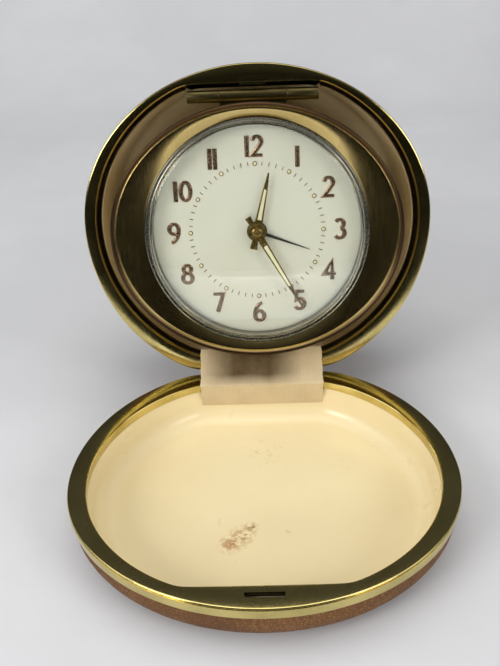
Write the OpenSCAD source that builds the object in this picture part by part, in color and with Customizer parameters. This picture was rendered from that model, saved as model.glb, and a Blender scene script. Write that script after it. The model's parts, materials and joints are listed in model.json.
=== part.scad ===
// Folding travel alarm clock: an oval clamshell whose lid lies flat as the foot while the rear half
// stands up behind it. The clock unit hangs from a small hinge at the top of the rear half and swings
// out for winding. Millimetres, +Z up, origin at the middle of the lid's flat underside.
//
// Each half has its own flat frame: x to the right, v away from the case hinge, off outward from its
// rim. The movement uses the clock's frame: the same x and off, with v measured from the hand centre.

/* [Case] */
// Width of both halves
case_w = 86; // [84:0.5:88]
// Height of both halves from the hinge edge to the free edge
case_h = 76.7; // [76:0.1:78]
// Depth of the lid half below its rim face
lid_d = 12; // [11.8:0.1:13]
// Depth of the rear half behind its rim face
rear_d = 30; // [29:0.5:32]
// Backward lean of the rear half from upright, in degrees
lean = 15.1; // [5:0.1:30]
// Thickness of the leather cover
cover_t = 0.6; // [0.5:0.05:0.7]
// Thickness of the pressed shells and the liners
shell_t = 0.5; // [0.4:0.05:0.5]
// Thickness of the brass rim channel
rim_t = 0.6; // [0.5:0.05:0.7]
// Height of the brass band around each rim
band_h = 2.7; // [2.2:0.1:3]

/* [Strap] */
// Width of the cream hinge strap
strap_w = 31.6; // [28:0.1:31.8]
// Thickness of the hinge strap
strap_t = 0.4; // [0.3:0.05:0.5]

/* [Clock] */
// Half width of the oval bezel
bezel_x = 35.7; // [35:0.1:36]
// Half height of the oval bezel
bezel_v = 30.9; // [30.5:0.1:31]
// How far the bezel's edge stands in front of the rim
bezel_off = 6; // [5:0.1:6.2]
// Radius of the crystal inside its ring
crystal_r = 26.1; // [25.8:0.1:26.1]
// Width of the metal ring around the crystal
ring_w = 1.2; // [0.8:0.1:1.2]
// Height of the numerals
numeral_h = 4.9; // [4:0.1:5.2]
// Length of the hour hand
hour_len = 14.6; // [12:0.1:15.5]
// Length of the minute hand
minute_len = 22.4; // [20:0.1:23]
// Length of the alarm hand
alarm_len = 13.8; // [10:0.1:14.5]
// Minutes past twelve that the hands show
shown_minutes = 25; // [0:1:59]
// Hour that the alarm hand shows
shown_alarm = 3.7; // [0:0.1:11.9]

/* [Hidden] */
$fn = 48;

// Case outline: two half ellipses that meet at mid_v, cut flat near the hinge
mid_v = 39;
low_rise = 42.5;
up_rise = case_h - mid_v;
// Inside edge of the rims: cut flat at the hinge and at the free edge
inner_w = case_w / 2 - 4.2;
inner_up = up_rise - 2.5;
inner_low = low_rise - 5.7;
inner_lo = 5.5;
inner_hi = case_h - 5.7;
outer_soft = 1.5;
inner_soft = 0.6;
sides = 64;
arc_steps = 4;
// The two rim faces stay this far apart when the case is shut
face_gap = 0.05;
// Lower ledge inside the rear rim
ledge_w = 1.25;
ledge_drop = 0.8;
lid_corner = 7.5;
rear_corner = 3.2;
// The leather lies this far inside the outline, with its edge this far below the band
cover_inset = 0.5;
cover_gap = 0.1;
// The pressed shells lie this far inside the leather, and reach this far up into the rims
shell_gap = 0.03;
shell_top = -1.5;
// Liners: corner radii, draft of the walls and height of the floors above the leather's flat
lid_liner_corner = 4.6;
lid_draft = 0.8;
lid_floor = 1.8;
rear_liner_corner = 5;
rear_draft = 0.6;
rear_floor = 2.6;
liner_top = 0.45 - band_h;
hinge_y = case_h / 2;

// Case hinge
knuckle_r = 1.3;
knuckle_l = 6;
pin_r = 0.6;
leaf_t = 0.5;
end_gap = 0.05;
running = 0.05;

// Clock hinge
clock_axis_v = case_h - 7.4;
clock_axis_off = -1;
clock_knuckle_r = 1.45;
clock_pin_r = 0.7;
swing_half = 8.05;
clock_hinge_half = 15.7;
clock_leaf_t = 0.45;
swing_gap = 0.1;
leaf_depth = -9;

// Latch
latch_v = case_h - 3.4;
slot_l = 7.6;
slot_w = 1.25;
catch_l = 6.8;
tongue_l = 6.2;
latch_t = 0.5;

// Clock unit
hub_v = 37;
can_x = bezel_x - 2.7;
can_v = bezel_v - 2.9;
can_t = 0.6;
can_back = -17.5;
back_t = 0.65;
dial_top = 1;
dial_t = 0.5;
dial_hole_r = 1.9;
crystal_low = 3.5;
crystal_wall = 0.8;
crystal_shoulder = 1.7;
crystal_spring = 6.6;
ring_top = 5.2;
ring_gap = 0.05;
// Circles that the numerals and the minute marks stand on
numeral_r = 20.5;
marker_r = 16.4;
dot_r = 0.6;
plate_x = 30;
plate_v = 25;
front_plate_off = -3;
front_plate_t = 0.8;
back_plate_off = -14;
back_plate_t = 0.8;
arbor_r = 0.4;
centre_r = 0.5;
barrel_arbor_r = 1.2;

// Places of the arbors, measured from the hand centre
great_mod = 0.4;
centre_leaves = 12;
time_teeth = 54;
time_gap = great_mod * (centre_leaves + time_teeth) / 2;
time_dir = 195;
time_at = time_gap * [cos(time_dir), sin(time_dir)];
alarm_at = [-time_at[0], time_at[1]];
centre_teeth = 60;
third_leaves = 8;
third_mod = 0.3;
third_dir = 100;
third_at = third_mod * (centre_teeth + third_leaves) / 2 * [cos(third_dir), sin(third_dir)];
third_teeth = 56;
fourth_leaves = 7;
fourth_mod = 0.25;
fourth_dir = 20;
fourth_at = third_at + fourth_mod * (third_teeth + fourth_leaves) / 2 * [cos(fourth_dir), sin(fourth_dir)];
fourth_teeth = 60;
escape_leaves = 8;
escape_mod = 0.2;
escape_dir = 8;
escape_at = fourth_at + escape_mod * (fourth_teeth + escape_leaves) / 2 * [cos(escape_dir), sin(escape_dir)];
lever_dir = -25;
lever_at = escape_at + 4.6 * [cos(lever_dir), sin(lever_dir)];
balance_at = lever_at + 5.4 * [cos(lever_dir), sin(lever_dir)];
alarm_teeth = 48;
strike_leaves = 8;
strike_dir = -72;
strike_at = alarm_at + great_mod * (alarm_teeth + strike_leaves) / 2 * [cos(strike_dir), sin(strike_dir)];
hammer_dir = 214;
hammer_at = strike_at + 6 * [cos(hammer_dir), sin(hammer_dir)];
cannon_leaves = 12;
minute_teeth = 36;
minute_mod = 0.25;
minute_dir = -75;
minute_at = minute_mod * (cannon_leaves + minute_teeth) / 2 * [cos(minute_dir), sin(minute_dir)];
minute_leaves = 10;
hour_teeth = 40;
hour_mod = minute_mod * (cannon_leaves + minute_teeth) / (minute_leaves + hour_teeth);
set_teeth = 18;
set_dir = -60;
set_at = minute_at + minute_mod * (minute_teeth + set_teeth) / 2 * [cos(set_dir), sin(set_dir)];
alarm_disc_teeth = 60;
alarm_pinion_teeth = 12;
alarm_disc_mod = 0.3;
alarm_set_dir = -103;
alarm_set_at = alarm_disc_mod * (alarm_disc_teeth + alarm_pinion_teeth) / 2
    * [cos(alarm_set_dir), sin(alarm_set_dir)];
pillar_at = [[-10, 20], [26, -4], [-26, -4], [-12, -19], [14, 19.5]];
pillar_r = 1.3;
stop_at = [-19, 12];
stop_r = 0.8;
// Turn of the regulator lever about the balance, and the place of its tab along it
regulator_turn = 160;
tab_at = 6.7;
// Clearance of the arbors in the back cover, and a level in front of that cover
hole_gap = 0.3;
cover_front = -15;

// Layers of the movement, as distances from the rim plane
arbor_back = back_plate_off + 0.1;
arbor_front = front_plate_off + 0.7;
arbor_end = -20;
cannon_off = -2.05;
hour_wheel_off = -1;
alarm_disc_off = -0.2;
centre_wheel_off = -4.6;
great_off = -6;
third_wheel_off = -8.4;
fourth_wheel_off = -10.4;
escape_off = -8.2;
spring_off = -11.5;
spring_h = 4.9;
key_off = -18.5;
knob_back = -21.5;
set_arbor_back = -20.5;
wheel_t = 0.4;
great_t = 0.6;
// How far the pinions reach behind and in front of the back of the wheel they drive or are driven by
leaf_back = 0.2;
leaf_front = 0.6;
great_leaf_front = 0.8;

// Colours
BRASS = [0.74, 0.62, 0.3];
STEEL = [0.66, 0.67, 0.69];
LEATHER = [0.5, 0.33, 0.2];
CREAM = [0.93, 0.86, 0.7];
DIAL = [0.9, 0.9, 0.84];
GILT = [0.66, 0.47, 0.3];
LUME = [0.87, 0.84, 0.66];

// ---------------------------------------------------------------- shapes that repeat

// Larger and smaller of two values, with a rounded change-over k wide
function soft_max(a, b, k) = (a + b + sqrt((a - b) * (a - b) + k * k)) / 2;
function soft_min(a, b, k) = (a + b - sqrt((a - b) * (a - b) + k * k)) / 2;

// Ring of points of a case oval, d inside its outline
function oval(w, up, low, lo, hi, soft, d) = [
    for (i = [0 : sides - 1])
        let (t = 360 * i / sides)
        let (rise = (sin(t) >= 0 ? up : low) - d)
        let (v = mid_v + rise * sin(t))
        [(w - d) * cos(t), soft_min(soft_max(v, lo + d, soft), hi - d, soft)]
];
function outer_oval(d) = oval(case_w / 2, up_rise, low_rise, 0, 3 * case_h, outer_soft, d);
function inner_oval(d) = oval(inner_w, inner_up, inner_low, inner_lo, inner_hi, inner_soft, d);
function liner_oval(d) = oval(inner_w, inner_up + 0.4, inner_low + 0.4, inner_lo - 0.6, inner_hi + 0.6,
    inner_soft, d);
function ellipse(a, b) = [for (i = [0 : sides - 1]) [a * cos(360 * i / sides), b * sin(360 * i / sides)]];
function lifted(ring, h) = [for (p = ring) [p[0], p[1], h]];

// Rounded corner of a bowl, from its floor up to a wall at d
function corner(d, r, floor) = [
    for (s = [0 : arc_steps])
        let (a = 90 * s / arc_steps)
        [d + r * (1 - sin(a)), floor + r * (1 - cos(a))]
];
function backwards(list) = [for (i = [len(list) - 1 : -1 : 0]) list[i]];

// Faces between one ring of n points and the next
function band_faces(n, from, to) = [
    for (i = [0 : n - 1])
        let (k = (i + 1) % n)
        each [[from * n + i, to * n + i, to * n + k], [from * n + i, to * n + k, from * n + k]]
];

// Closed solid through a stack of rings, capped at both ends
module skin(rings) {
    n = len(rings[0]);
    last = len(rings) - 1;
    polyhedron(
        [for (ring = rings) each ring],
        concat(
            [[for (i = [0 : n - 1]) i]],
            [for (j = [0 : last - 1]) each band_faces(n, j, j + 1)],
            [[for (i = [n - 1 : -1 : 0]) last * n + i]]
        )
    );
}

// Closed hoop through a cycle of rings
module hoop(rings) {
    n = len(rings[0]);
    polyhedron(
        [for (ring = rings) each ring],
        [for (j = [0 : len(rings) - 1]) each band_faces(n, j, (j + 1) % len(rings))]
    );
}

// Bowl between an outer wall of corner radius r and an inner wall t inside it
module outer_bowl(d, r, t, top, floor) {
    side = concat(corner(d, r, floor), [[d, top], [d + t, top]], backwards(corner(d + t, r - t, floor + t)));
    skin([for (p = side) lifted(outer_oval(p[0]), p[1])]);
}

// Steel bowl just inside the leather of a half with the given corner radius and depth
module pressed_shell(r, depth) {
    inside = cover_t + shell_gap;
    outer_bowl(cover_inset + inside, r - inside, shell_t, shell_top, inside - depth);
}

// Tray whose inner wall draws in from 0.1 at the top to d above the corner, with a wall t behind it
module liner_bowl(d, r, t, top, floor) {
    mouth = 0.1;
    side = concat(
        corner(d - t, r + t, floor - t),
        [[mouth - t, top], [mouth, top]],
        backwards(corner(d, r, floor))
    );
    skin([for (p = side) lifted(liner_oval(p[0]), p[1])]);
}

// Child drawn in the rear half's frame
module on_rear() {
    translate([0, hinge_y, lid_d])
        rotate([90 - lean, 0, 0])
            children();
}

// Child drawn in the lid's frame, with v running forward from the hinge
module on_lid() {
    translate([0, hinge_y, lid_d])
        mirror([0, 1, 0])
            children();
}

// Child drawn in the clock's frame, at a place in its plane and a distance from the rim plane
module on_clock(at = [0, 0], off = 0) {
    on_rear()
        translate([at[0], hub_v + at[1], off])
            children();
}

// Prism over a list of points
module slab(points, from, to) {
    translate([0, 0, from])
        linear_extrude(to - from)
            polygon(points);
}

// Round bar along the clock's axis
module bar(r, from, to) {
    translate([0, 0, from])
        cylinder(r = r, h = to - from);
}

// Round bar along x
module cross_bar(r, from, to) {
    translate([from, 0, 0])
        rotate([0, 90, 0])
            cylinder(r = r, h = to - from);
}

// Outline of a wheel with slim teeth, one of them at the angle aim
function teeth(n, m, aim) = [
    for (i = [0 : n - 1])
        let (c = aim + 360 * i / n, p = 360 / n, r = n * m / 2)
        each [
            (r - 1.15 * m) * [cos(c - 0.28 * p), sin(c - 0.28 * p)],
            (r + 0.75 * m) * [cos(c - 0.09 * p), sin(c - 0.09 * p)],
            (r + 0.75 * m) * [cos(c + 0.09 * p), sin(c + 0.09 * p)],
            (r - 1.15 * m) * [cos(c + 0.28 * p), sin(c + 0.28 * p)]
        ]
];

// Angle of a tooth of a wheel of n teeth that meshes with one of n_from teeth, aimed at from_aim,
// lying in the direction dir as seen from that other wheel
function mesh_aim(n, n_from, from_aim, dir) =
    let (step = 360 / n_from)
    let (ahead = (dir - from_aim) - step * floor((dir - from_aim) / step))
    dir + 180 + ahead * n_from / n + 180 / n;

module gear(n, m, aim, from, to) {
    slab(teeth(n, m, aim), from, to);
}

// Four windows that leave a wheel with four spokes
module windows(inner, outer, from, to) {
    for (a = [45 : 90 : 315])
        rotate(a)
            intersection() {
                difference() {
                    bar(outer, from, to);
                    bar(inner, from - 1, to + 1);
                }
                translate([inner * 0.45, inner * 0.45, from])
                    cube([outer, outer, to - from]);
            }
}

// Points along an ellipse arc
function arc(cx, cy, rx, ry, from, to, n = 8) = [
    for (i = [0 : n])
        let (a = from + (to - from) * i / n)
        [cx + rx * cos(a), cy + ry * sin(a)]
];
function unit(p) = p / norm(p);
function turned(p) = [-p[1], p[0]];

// One side of a stroke w wide along a line of points
function stroke_side(p, w) = [
    for (i = [0 : len(p) - 1])
        let (a = unit(p[max(i, 1)] - p[max(i, 1) - 1]))
        let (j = min(i, len(p) - 2), b = unit(p[j + 1] - p[j]))
        let (n = unit(turned(a + b)))
        p[i] + n * w / (2 * max(0.5, n * turned(a)))
];
function stroke(p, w) = concat(stroke_side(p, w), backwards(stroke_side(p, -w)));

// Spiral strip from radius r0 to r1 in the given number of turns
function spiral(r0, r1, turns, w) =
    let (steps = turns * 20)
    let (line = [
        for (i = [0 : steps])
            let (r = r0 + (r1 - r0) * i / steps, a = 18 * i)
            [r * cos(a), r * sin(a)]
    ])
    stroke(line, w);

// ---------------------------------------------------------------- case

// Wall between two insides of the rim, d_out and d_in outside the inner outline
module inner_wall(d_out, d_in, from, to) {
    difference() {
        slab(inner_oval(-d_out), from, to);
        slab(inner_oval(-d_in), from - 1, to + 1);
    }
}

// Brass channel of one half: outer band, face, a lower inside ledge if step is over 0, and inner wall.
// It is cut away for the hinge knuckles.
module rim(step) {
    face = -face_gap;
    ledge = step > 0 ? face - ledge_drop : face;
    difference() {
        union() {
            difference() {
                slab(outer_oval(0), -band_h, face);
                slab(outer_oval(rim_t), -band_h - 1, face - rim_t);
                slab(inner_oval(-step), -band_h - 1, 1);
            }
            inner_wall(step + rim_t, step, ledge - rim_t, face);
            inner_wall(rim_t, 0, -band_h + 0.5, ledge);
            if (step > rim_t)
                inner_wall(step + rim_t / 2, 0, ledge - rim_t, ledge);
        }
        translate([-2.5 * knuckle_l - 0.4, -1, -band_h - 1])
            cube([5 * knuckle_l + 0.8, 2.5, band_h + 2]);
    }
}

module lid_rim() {
    color(BRASS)
        on_lid()
            difference() {
                rim(0);
                translate([-slot_l / 2, latch_v - slot_w / 2, -2])
                    cube([slot_l, slot_w, 3]);
            }
}

module lid_shell() {
    color(STEEL)
        on_lid()
            pressed_shell(lid_corner, lid_d);
}

module lid_cover() {
    color(LEATHER)
        on_lid()
            outer_bowl(cover_inset, lid_corner, cover_t, -band_h - cover_gap, -lid_d);
}

module lid_liner() {
    color(CREAM)
        on_lid()
            liner_bowl(lid_draft, lid_liner_corner, shell_t, liner_top, lid_floor - lid_d);
}

// One leaf of the case hinge, with knuckles centred at the given places and a plate that reaches to v = reach
module case_leaf(places, reach) {
    half = knuckle_l / 2 - end_gap;
    plate_v0 = knuckle_r + 0.3;
    difference() {
        union() {
            translate([-2.5 * knuckle_l + 2 * end_gap, plate_v0, -knuckle_r])
                cube([5 * knuckle_l - 4 * end_gap, reach - plate_v0, leaf_t]);
            for (x = places) {
                cross_bar(knuckle_r, x - half, x + half);
                translate([x - half, 0, -knuckle_r])
                    cube([2 * half, plate_v0 + 0.4, leaf_t]);
            }
        }
        cross_bar(pin_r + running, -3 * knuckle_l, 3 * knuckle_l);
    }
}

module lid_hinge_leaf() {
    color(BRASS)
        on_lid()
            case_leaf([-2 * knuckle_l, 0, 2 * knuckle_l], 4.7);
}

// Spring catch behind the latch slot
module latch_catch() {
    color(STEEL)
        on_lid() {
            translate([-catch_l / 2, latch_v - 0.7, -2.2])
                cube([catch_l, 1.2, latch_t]);
            translate([-1, latch_v + 0.2, -3.6])
                cube([2, 0.3, 1.4]);
        }
}

module case_rim() {
    color(BRASS)
        on_rear()
            rim(ledge_w);
}

module case_shell() {
    color(STEEL)
        on_rear()
            pressed_shell(rear_corner, rear_d);
}

module case_cover() {
    color(LEATHER)
        on_rear()
            outer_bowl(cover_inset, rear_corner, cover_t, -band_h - cover_gap, -rear_d);
}

module case_liner() {
    color(CREAM)
        on_rear()
            liner_bowl(rear_draft, rear_liner_corner, shell_t, liner_top, rear_floor - rear_d);
}

module case_hinge_leaf() {
    color(BRASS)
        on_rear()
            case_leaf([-knuckle_l, knuckle_l], 3.5);
}

module case_hinge_pin() {
    color(STEEL)
        on_rear()
            cross_bar(pin_r, -2.5 * knuckle_l, 2.5 * knuckle_l);
}

// Thin tongue that enters the lid's latch slot
module latch_tongue() {
    foot = -face_gap - rim_t - latch_t;
    color(BRASS)
        on_rear() {
            translate([-tongue_l / 2, latch_v - latch_t / 2, foot])
                cube([tongue_l, latch_t, 2.05]);
            translate([-tongue_l / 2, latch_v - 1.6, foot])
                cube([tongue_l, 1.6, latch_t]);
        }
}

// Strap over both rims: glued behind each liner, with a slack curve across the hinge
module hinge_strap() {
    v = inner_lo + 0.85;
    up = [sin(lean), cos(lean)];
    out = [-cos(lean), sin(lean)];
    start = [-v, 0.2];
    end = v * up + 0.2 * out;
    bow = [-1.7, 1.6];
    curve = [
        for (i = [0 : 8])
            let (t = i / 8)
            (1 - t) * (1 - t) * start + 2 * t * (1 - t) * bow + t * t * end
    ];
    line = concat([[-v, -2.5]], curve, [v * up - 2.5 * out]);
    color(CREAM)
        translate([strap_w / 2, hinge_y, lid_d])
            rotate([90, 0, -90])
                linear_extrude(strap_w)
                    polygon([for (p = stroke(line, strap_t)) [-p[0], p[1]]]);
}

// ---------------------------------------------------------------- clock hinge

module clock_hinge_leaf() {
    leaf_v = clock_axis_v + clock_knuckle_r - clock_leaf_t;
    color(BRASS)
        on_rear()
            difference() {
                union() {
                    translate([0, clock_axis_v, clock_axis_off])
                        for (x = [-clock_hinge_half, swing_half + swing_gap])
                            cross_bar(clock_knuckle_r, x, x + clock_hinge_half - swing_half - swing_gap);
                    translate([0.5 - clock_hinge_half, leaf_v, leaf_depth])
                        cube([2 * clock_hinge_half - 1, clock_leaf_t, clock_axis_off - leaf_depth]);
                }
                translate([0, clock_axis_v, clock_axis_off])
                    cross_bar(clock_pin_r + running, -inner_w, inner_w);
                translate([-swing_half - swing_gap, clock_axis_v - 2, -2.8])
                    cube([2 * (swing_half + swing_gap), 5, 5]);
            }
}

module clock_hinge_pin() {
    color(STEEL)
        on_rear()
            translate([0, clock_axis_v, clock_axis_off])
                cross_bar(clock_pin_r, -clock_hinge_half, clock_hinge_half);
}

// Leaf that carries the clock: a knuckle, a short web and a foot that follows the can
module clock_swing_leaf() {
    foot = clock_axis_v - hub_v - can_v;
    color(BRASS)
        on_rear()
            difference() {
                union() {
                    translate([0, clock_axis_v, clock_axis_off])
                        cross_bar(clock_knuckle_r, -swing_half, swing_half);
                    translate([-swing_half, clock_axis_v - foot - 1, -2.4])
                        cube([2 * swing_half, foot + 0.5, 0.5]);
                    translate([-swing_half, clock_axis_v - foot - 1, -8])
                        cube([2 * swing_half, 1.5, 5.8]);
                }
                translate([0, clock_axis_v, clock_axis_off])
                    cross_bar(clock_pin_r + running, -inner_w, inner_w);
                translate([0, hub_v, 0])
                    slab(ellipse(can_x + 0.02, can_v + 0.02), -20, 3);
            }
}

// ---------------------------------------------------------------- clock body

// Oval bezel: a rolled outer edge, dished down to the round crystal
module bezel() {
    hole = crystal_r + ring_w + ring_gap;
    edge = [
        [bezel_x - 0.4, bezel_v - 0.4, bezel_off - 1.95],
        [bezel_x, bezel_v, bezel_off - 1.4],
        [bezel_x, bezel_v, bezel_off - 0.4],
        [bezel_x - 0.4, bezel_v - 0.4, bezel_off],
        [bezel_x - 1.1, bezel_v - 1.1, bezel_off - 0.15],
        [hole, hole, bezel_off - 1.2],
        [hole, hole, bezel_off - 1.9]
    ];
    color(BRASS)
        on_clock()
            hoop(backwards([for (e = edge) lifted(ellipse(e[0], e[1]), e[2])]));
}

// Domed crystal with a bevelled shoulder
module crystal() {
    shoulder = crystal_r - crystal_shoulder;
    dome = crystal_shoulder;
    underside = crystal_spring - 0.9;
    bend = (shoulder * shoulder + dome * dome) / (2 * dome);
    function crown(r) = sqrt(bend * bend - r * r) - bend + dome;
    color([0.85, 0.9, 0.92, 0.3])
        on_clock()
            rotate_extrude($fn = 96)
                polygon(concat(
                    [[crystal_r - crystal_wall, crystal_low], [crystal_r, crystal_low]],
                    [[crystal_r, crystal_low + 1.1]],
                    [for (i = [6 : -1 : 0]) [shoulder * i / 6, crystal_spring + crown(shoulder * i / 6)]],
                    [for (i = [0 : 6]) [(shoulder - 0.5) * i / 6, underside + crown(shoulder * i / 6)]],
                    [[crystal_r - crystal_wall, crystal_low + crystal_wall]]
                ));
}

module crystal_ring() {
    color(BRASS)
        on_clock()
            difference() {
                bar(crystal_r + ring_w, crystal_low, ring_top);
                bar(crystal_r + ring_gap, crystal_low - 1, ring_top + 1);
            }
}

module dial_ring() {
    color([0.25, 0.25, 0.2])
        on_clock()
            difference() {
                bar(crystal_r + 0.6, dial_top + 0.02, crystal_low - ring_gap);
                bar(crystal_r - crystal_wall, dial_top - 1, crystal_low + 1);
            }
}

module dial() {
    color(DIAL)
        on_clock()
            difference() {
                bar(can_v - can_t - 0.2, dial_top - dial_t, dial_top);
                bar(dial_hole_r, dial_top - 2, dial_top + 1);
            }
}

// Strokes of each digit in a box one unit high
function strokes(d) =
    d == 1 ? [[[0.3, 0.02], [0.3, 0.98]], [[0.12, 0.8], [0.32, 0.95]]]
    : d == 2 ? [arc(0.3, 0.7, 0.22, 0.24, 165, -35), [[0.5, 0.6], [0.1, 0.08]], [[0.04, 0.06], [0.56, 0.06]]]
    : d == 3 ? [arc(0.28, 0.72, 0.2, 0.22, 150, -90), arc(0.28, 0.27, 0.24, 0.23, 90, -150)]
    : d == 4 ? [[[0.44, 0.02], [0.44, 0.98]], [[0.43, 0.95], [0.06, 0.3]], [[0.02, 0.3], [0.62, 0.3]]]
    : d == 5 ? [[[0.52, 0.93], [0.12, 0.93]], [[0.16, 0.95], [0.12, 0.5]],
        arc(0.28, 0.3, 0.24, 0.26, 130, -150)]
    : d == 6 ? [arc(0.46, 0.3, 0.39, 0.64, 80, 175)]
    : d == 7 ? [[[0.04, 0.93], [0.56, 0.93]], [[0.52, 0.93], [0.24, 0.02]]]
    : d == 9 ? [arc(0.14, 0.7, 0.39, 0.64, -100, -5)]
    : [];

// Closed loops of each digit: centre and half sizes
function loops(d) =
    d == 0 ? [[0.3, 0.5, 0.22, 0.44]]
    : d == 6 ? [[0.3, 0.28, 0.22, 0.23]]
    : d == 8 ? [[0.3, 0.74, 0.19, 0.2], [0.3, 0.27, 0.23, 0.23]]
    : d == 9 ? [[0.3, 0.72, 0.22, 0.23]]
    : [];

module digit(d, h, pen) {
    for (s = strokes(d))
        linear_extrude(0.25)
            polygon(stroke(s * h, pen));
    for (o = loops(d))
        linear_extrude(0.25)
            difference() {
                polygon(arc(o[0] * h, o[1] * h, o[2] * h + pen / 2, o[3] * h + pen / 2, 0, 345, 23));
                polygon(arc(o[0] * h, o[1] * h, o[2] * h - pen / 2, o[3] * h - pen / 2, 0, 345, 23));
            }
}

module dial_numerals() {
    pen = 0.13 * numeral_h;
    advance = 0.66 * numeral_h;
    color(GILT)
        for (hour = [1 : 12]) {
            digits = hour < 10 ? [hour] : [1, hour - 10];
            on_clock(numeral_r * [sin(30 * hour), cos(30 * hour)], dial_top)
                for (i = [0 : len(digits) - 1])
                    translate([(i - len(digits) / 2) * advance, -numeral_h / 2, 0])
                        digit(digits[i], numeral_h, pen);
        }
}

// Raised dots at the hours and thin ticks at the other minutes
module dial_markers() {
    color(GILT)
        on_clock()
            for (i = [0 : 59])
                rotate(-6 * i)
                    if (i % 5 == 0)
                        translate([0, marker_r, dial_top])
                            cylinder(r = dot_r, h = 0.3);
                    else
                        translate([-0.08, marker_r - 0.5, dial_top])
                            cube([0.16, 1, 0.08]);
}

module clock_can() {
    color(BRASS)
        on_clock()
            difference() {
                slab(ellipse(can_x, can_v), can_back, bezel_off - 2);
                slab(ellipse(can_x - can_t, can_v - can_t), can_back - 1, bezel_off);
            }
}

// Pressed back with holes for the keys, the knobs and the regulator
module back_cover() {
    color(BRASS)
        on_clock()
            difference() {
                slab(ellipse(can_x, can_v), can_back - back_t - 0.05, can_back - 0.05);
                for (at = [time_at, alarm_at])
                    translate(at)
                        bar(barrel_arbor_r + hole_gap, arbor_end, cover_front);
                for (at = [set_at, alarm_set_at])
                    translate(at)
                        bar(centre_r + hole_gap, arbor_end, cover_front);
                translate(stop_at)
                    bar(stop_r + running, arbor_end, cover_front);
                translate(balance_at)
                    rotate(regulator_turn)
                        translate([tab_at - 0.8, -2.6, arbor_end])
                            cube([2.2, 5.2, cover_front - arbor_end]);
            }
}

// ---------------------------------------------------------------- movement

pivots = [
    [[0, 0], centre_r], [third_at, arbor_r], [fourth_at, arbor_r], [escape_at, arbor_r],
    [lever_at, arbor_r], [balance_at, arbor_r], [strike_at, arbor_r], [hammer_at, arbor_r],
    [time_at, barrel_arbor_r], [alarm_at, barrel_arbor_r], [set_at, centre_r], [alarm_set_at, centre_r],
    [stop_at, stop_r]
];

module movement_plate(from, to) {
    difference() {
        slab(ellipse(plate_x, plate_v), from, to);
        for (p = pivots)
            translate(p[0])
                bar(p[1] + running, from - 1, to + 1);
    }
}

module front_plate() {
    color(BRASS)
        on_clock() {
            movement_plate(front_plate_off, front_plate_off + front_plate_t);
            translate(minute_at)
                bar(centre_r, front_plate_off + front_plate_t / 2, -0.45);
        }
}

module back_plate() {
    color(BRASS)
        on_clock()
            movement_plate(back_plate_off, back_plate_off + back_plate_t);
}

module plate_pillars() {
    color(BRASS)
        for (at = pillar_at)
            on_clock(at)
                bar(pillar_r, back_plate_off + back_plate_t, front_plate_off);
}

// Screws through the back plate into the pillars
module plate_screws() {
    head_r = 1.1;
    slot = 0.4;
    color(STEEL)
        for (at = pillar_at)
            on_clock(at)
                difference() {
                    bar(head_r, back_plate_off - 0.7, back_plate_off - 0.01);
                    translate([-2 * head_r, -slot / 2, back_plate_off - 1])
                        cube([4 * head_r, slot, 0.6]);
                }
}

module mainspring() {
    translate([0, 0, spring_off])
        linear_extrude(spring_h)
            polygon(spiral(2.2, 9.2, 7, 0.25));
}

// The time spring and the alarm spring, coiled opposite ways
module mainsprings() {
    color(STEEL) {
        on_clock(time_at)
            mainspring();
        on_clock(alarm_at)
            mirror([1, 0, 0])
                mainspring();
    }
}

module hairspring() {
    color(STEEL)
        on_clock(balance_at, -12.2)
            linear_extrude(0.5)
                polygon(spiral(0.7, 3.4, 5, 0.12));
}

// ---------------------------------------------------------------- hands and motion work

// Tapered hand with a hub, drawn pointing along v; the window holds the luminous strip
function hand_outline(len, wide, tail) = [
    [-wide / 2, 2], [-wide * 0.42, len * 0.72], [-0.1, len], [0.1, len], [wide * 0.42, len * 0.72],
    [wide / 2, 2], [0.45, -2], [0.65, -tail], [-0.65, -tail], [-0.45, -2]
];
function window_outline(from, to, wide) = [
    [-wide * 0.4, from], [-wide * 0.3, to], [wide * 0.3, to], [wide * 0.4, from]
];

module hand(len, wide, tail, window, hub, bore, from, to) {
    difference() {
        union() {
            slab(hand_outline(len, wide, tail), from, to);
            bar(hub, from, to);
        }
        bar(bore, from - 1, to + 1);
        slab(window, from - 1, to + 1);
    }
}

// Widths, tails, bosses and bores of the hands, and the level of each hand's back
hand_t = 0.3;
hour_wide = 2.1;
hour_tail = 4.4;
hour_boss = 2.6;
hour_pipe_r = 1.3;
hour_off = 2.3;
minute_wide = 1.5;
minute_tail = 4.6;
minute_boss = 2.75;
minute_pipe_r = 0.9;
minute_off = 3.3;
alarm_boss = 2.5;
alarm_pipe_r = 1.75;
alarm_off = 1.5;
alarm_t = 0.2;
nut_r = 1.3;
hour_window = window_outline(3.2, 10.7, 1.5);
minute_window = window_outline(4.3, 16.4, 1);
minute_turn = -6 * shown_minutes;
hour_turn = -shown_minutes / 2;
alarm_turn = -30 * shown_alarm;

module minute_hand() {
    color(BRASS)
        on_clock()
            rotate(minute_turn)
                hand(minute_len, minute_wide, minute_tail, minute_window, minute_boss, minute_pipe_r,
                    minute_off, minute_off + hand_t);
}

module minute_hand_lume() {
    color(LUME)
        on_clock()
            rotate(minute_turn)
                slab(minute_window, minute_off + running, minute_off + hand_t);
}

module hand_nut() {
    color(BRASS)
        on_clock() {
            bar(nut_r, minute_off + hand_t + 0.02, minute_off + 0.8);
            bar(nut_r - 0.6, minute_off + 0.8, minute_off + 1.3);
        }
}

// Pipe that carries the minute hand, with the leaves that turn the minute wheel
module cannon_pinion() {
    color(STEEL)
        on_clock()
            difference() {
                union() {
                    gear(cannon_leaves, minute_mod, minute_dir, cannon_off, cannon_off + 0.7);
                    bar(minute_pipe_r, cannon_off, minute_off + hand_t);
                }
                bar(centre_r + running, -5, 5);
            }
}

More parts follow.
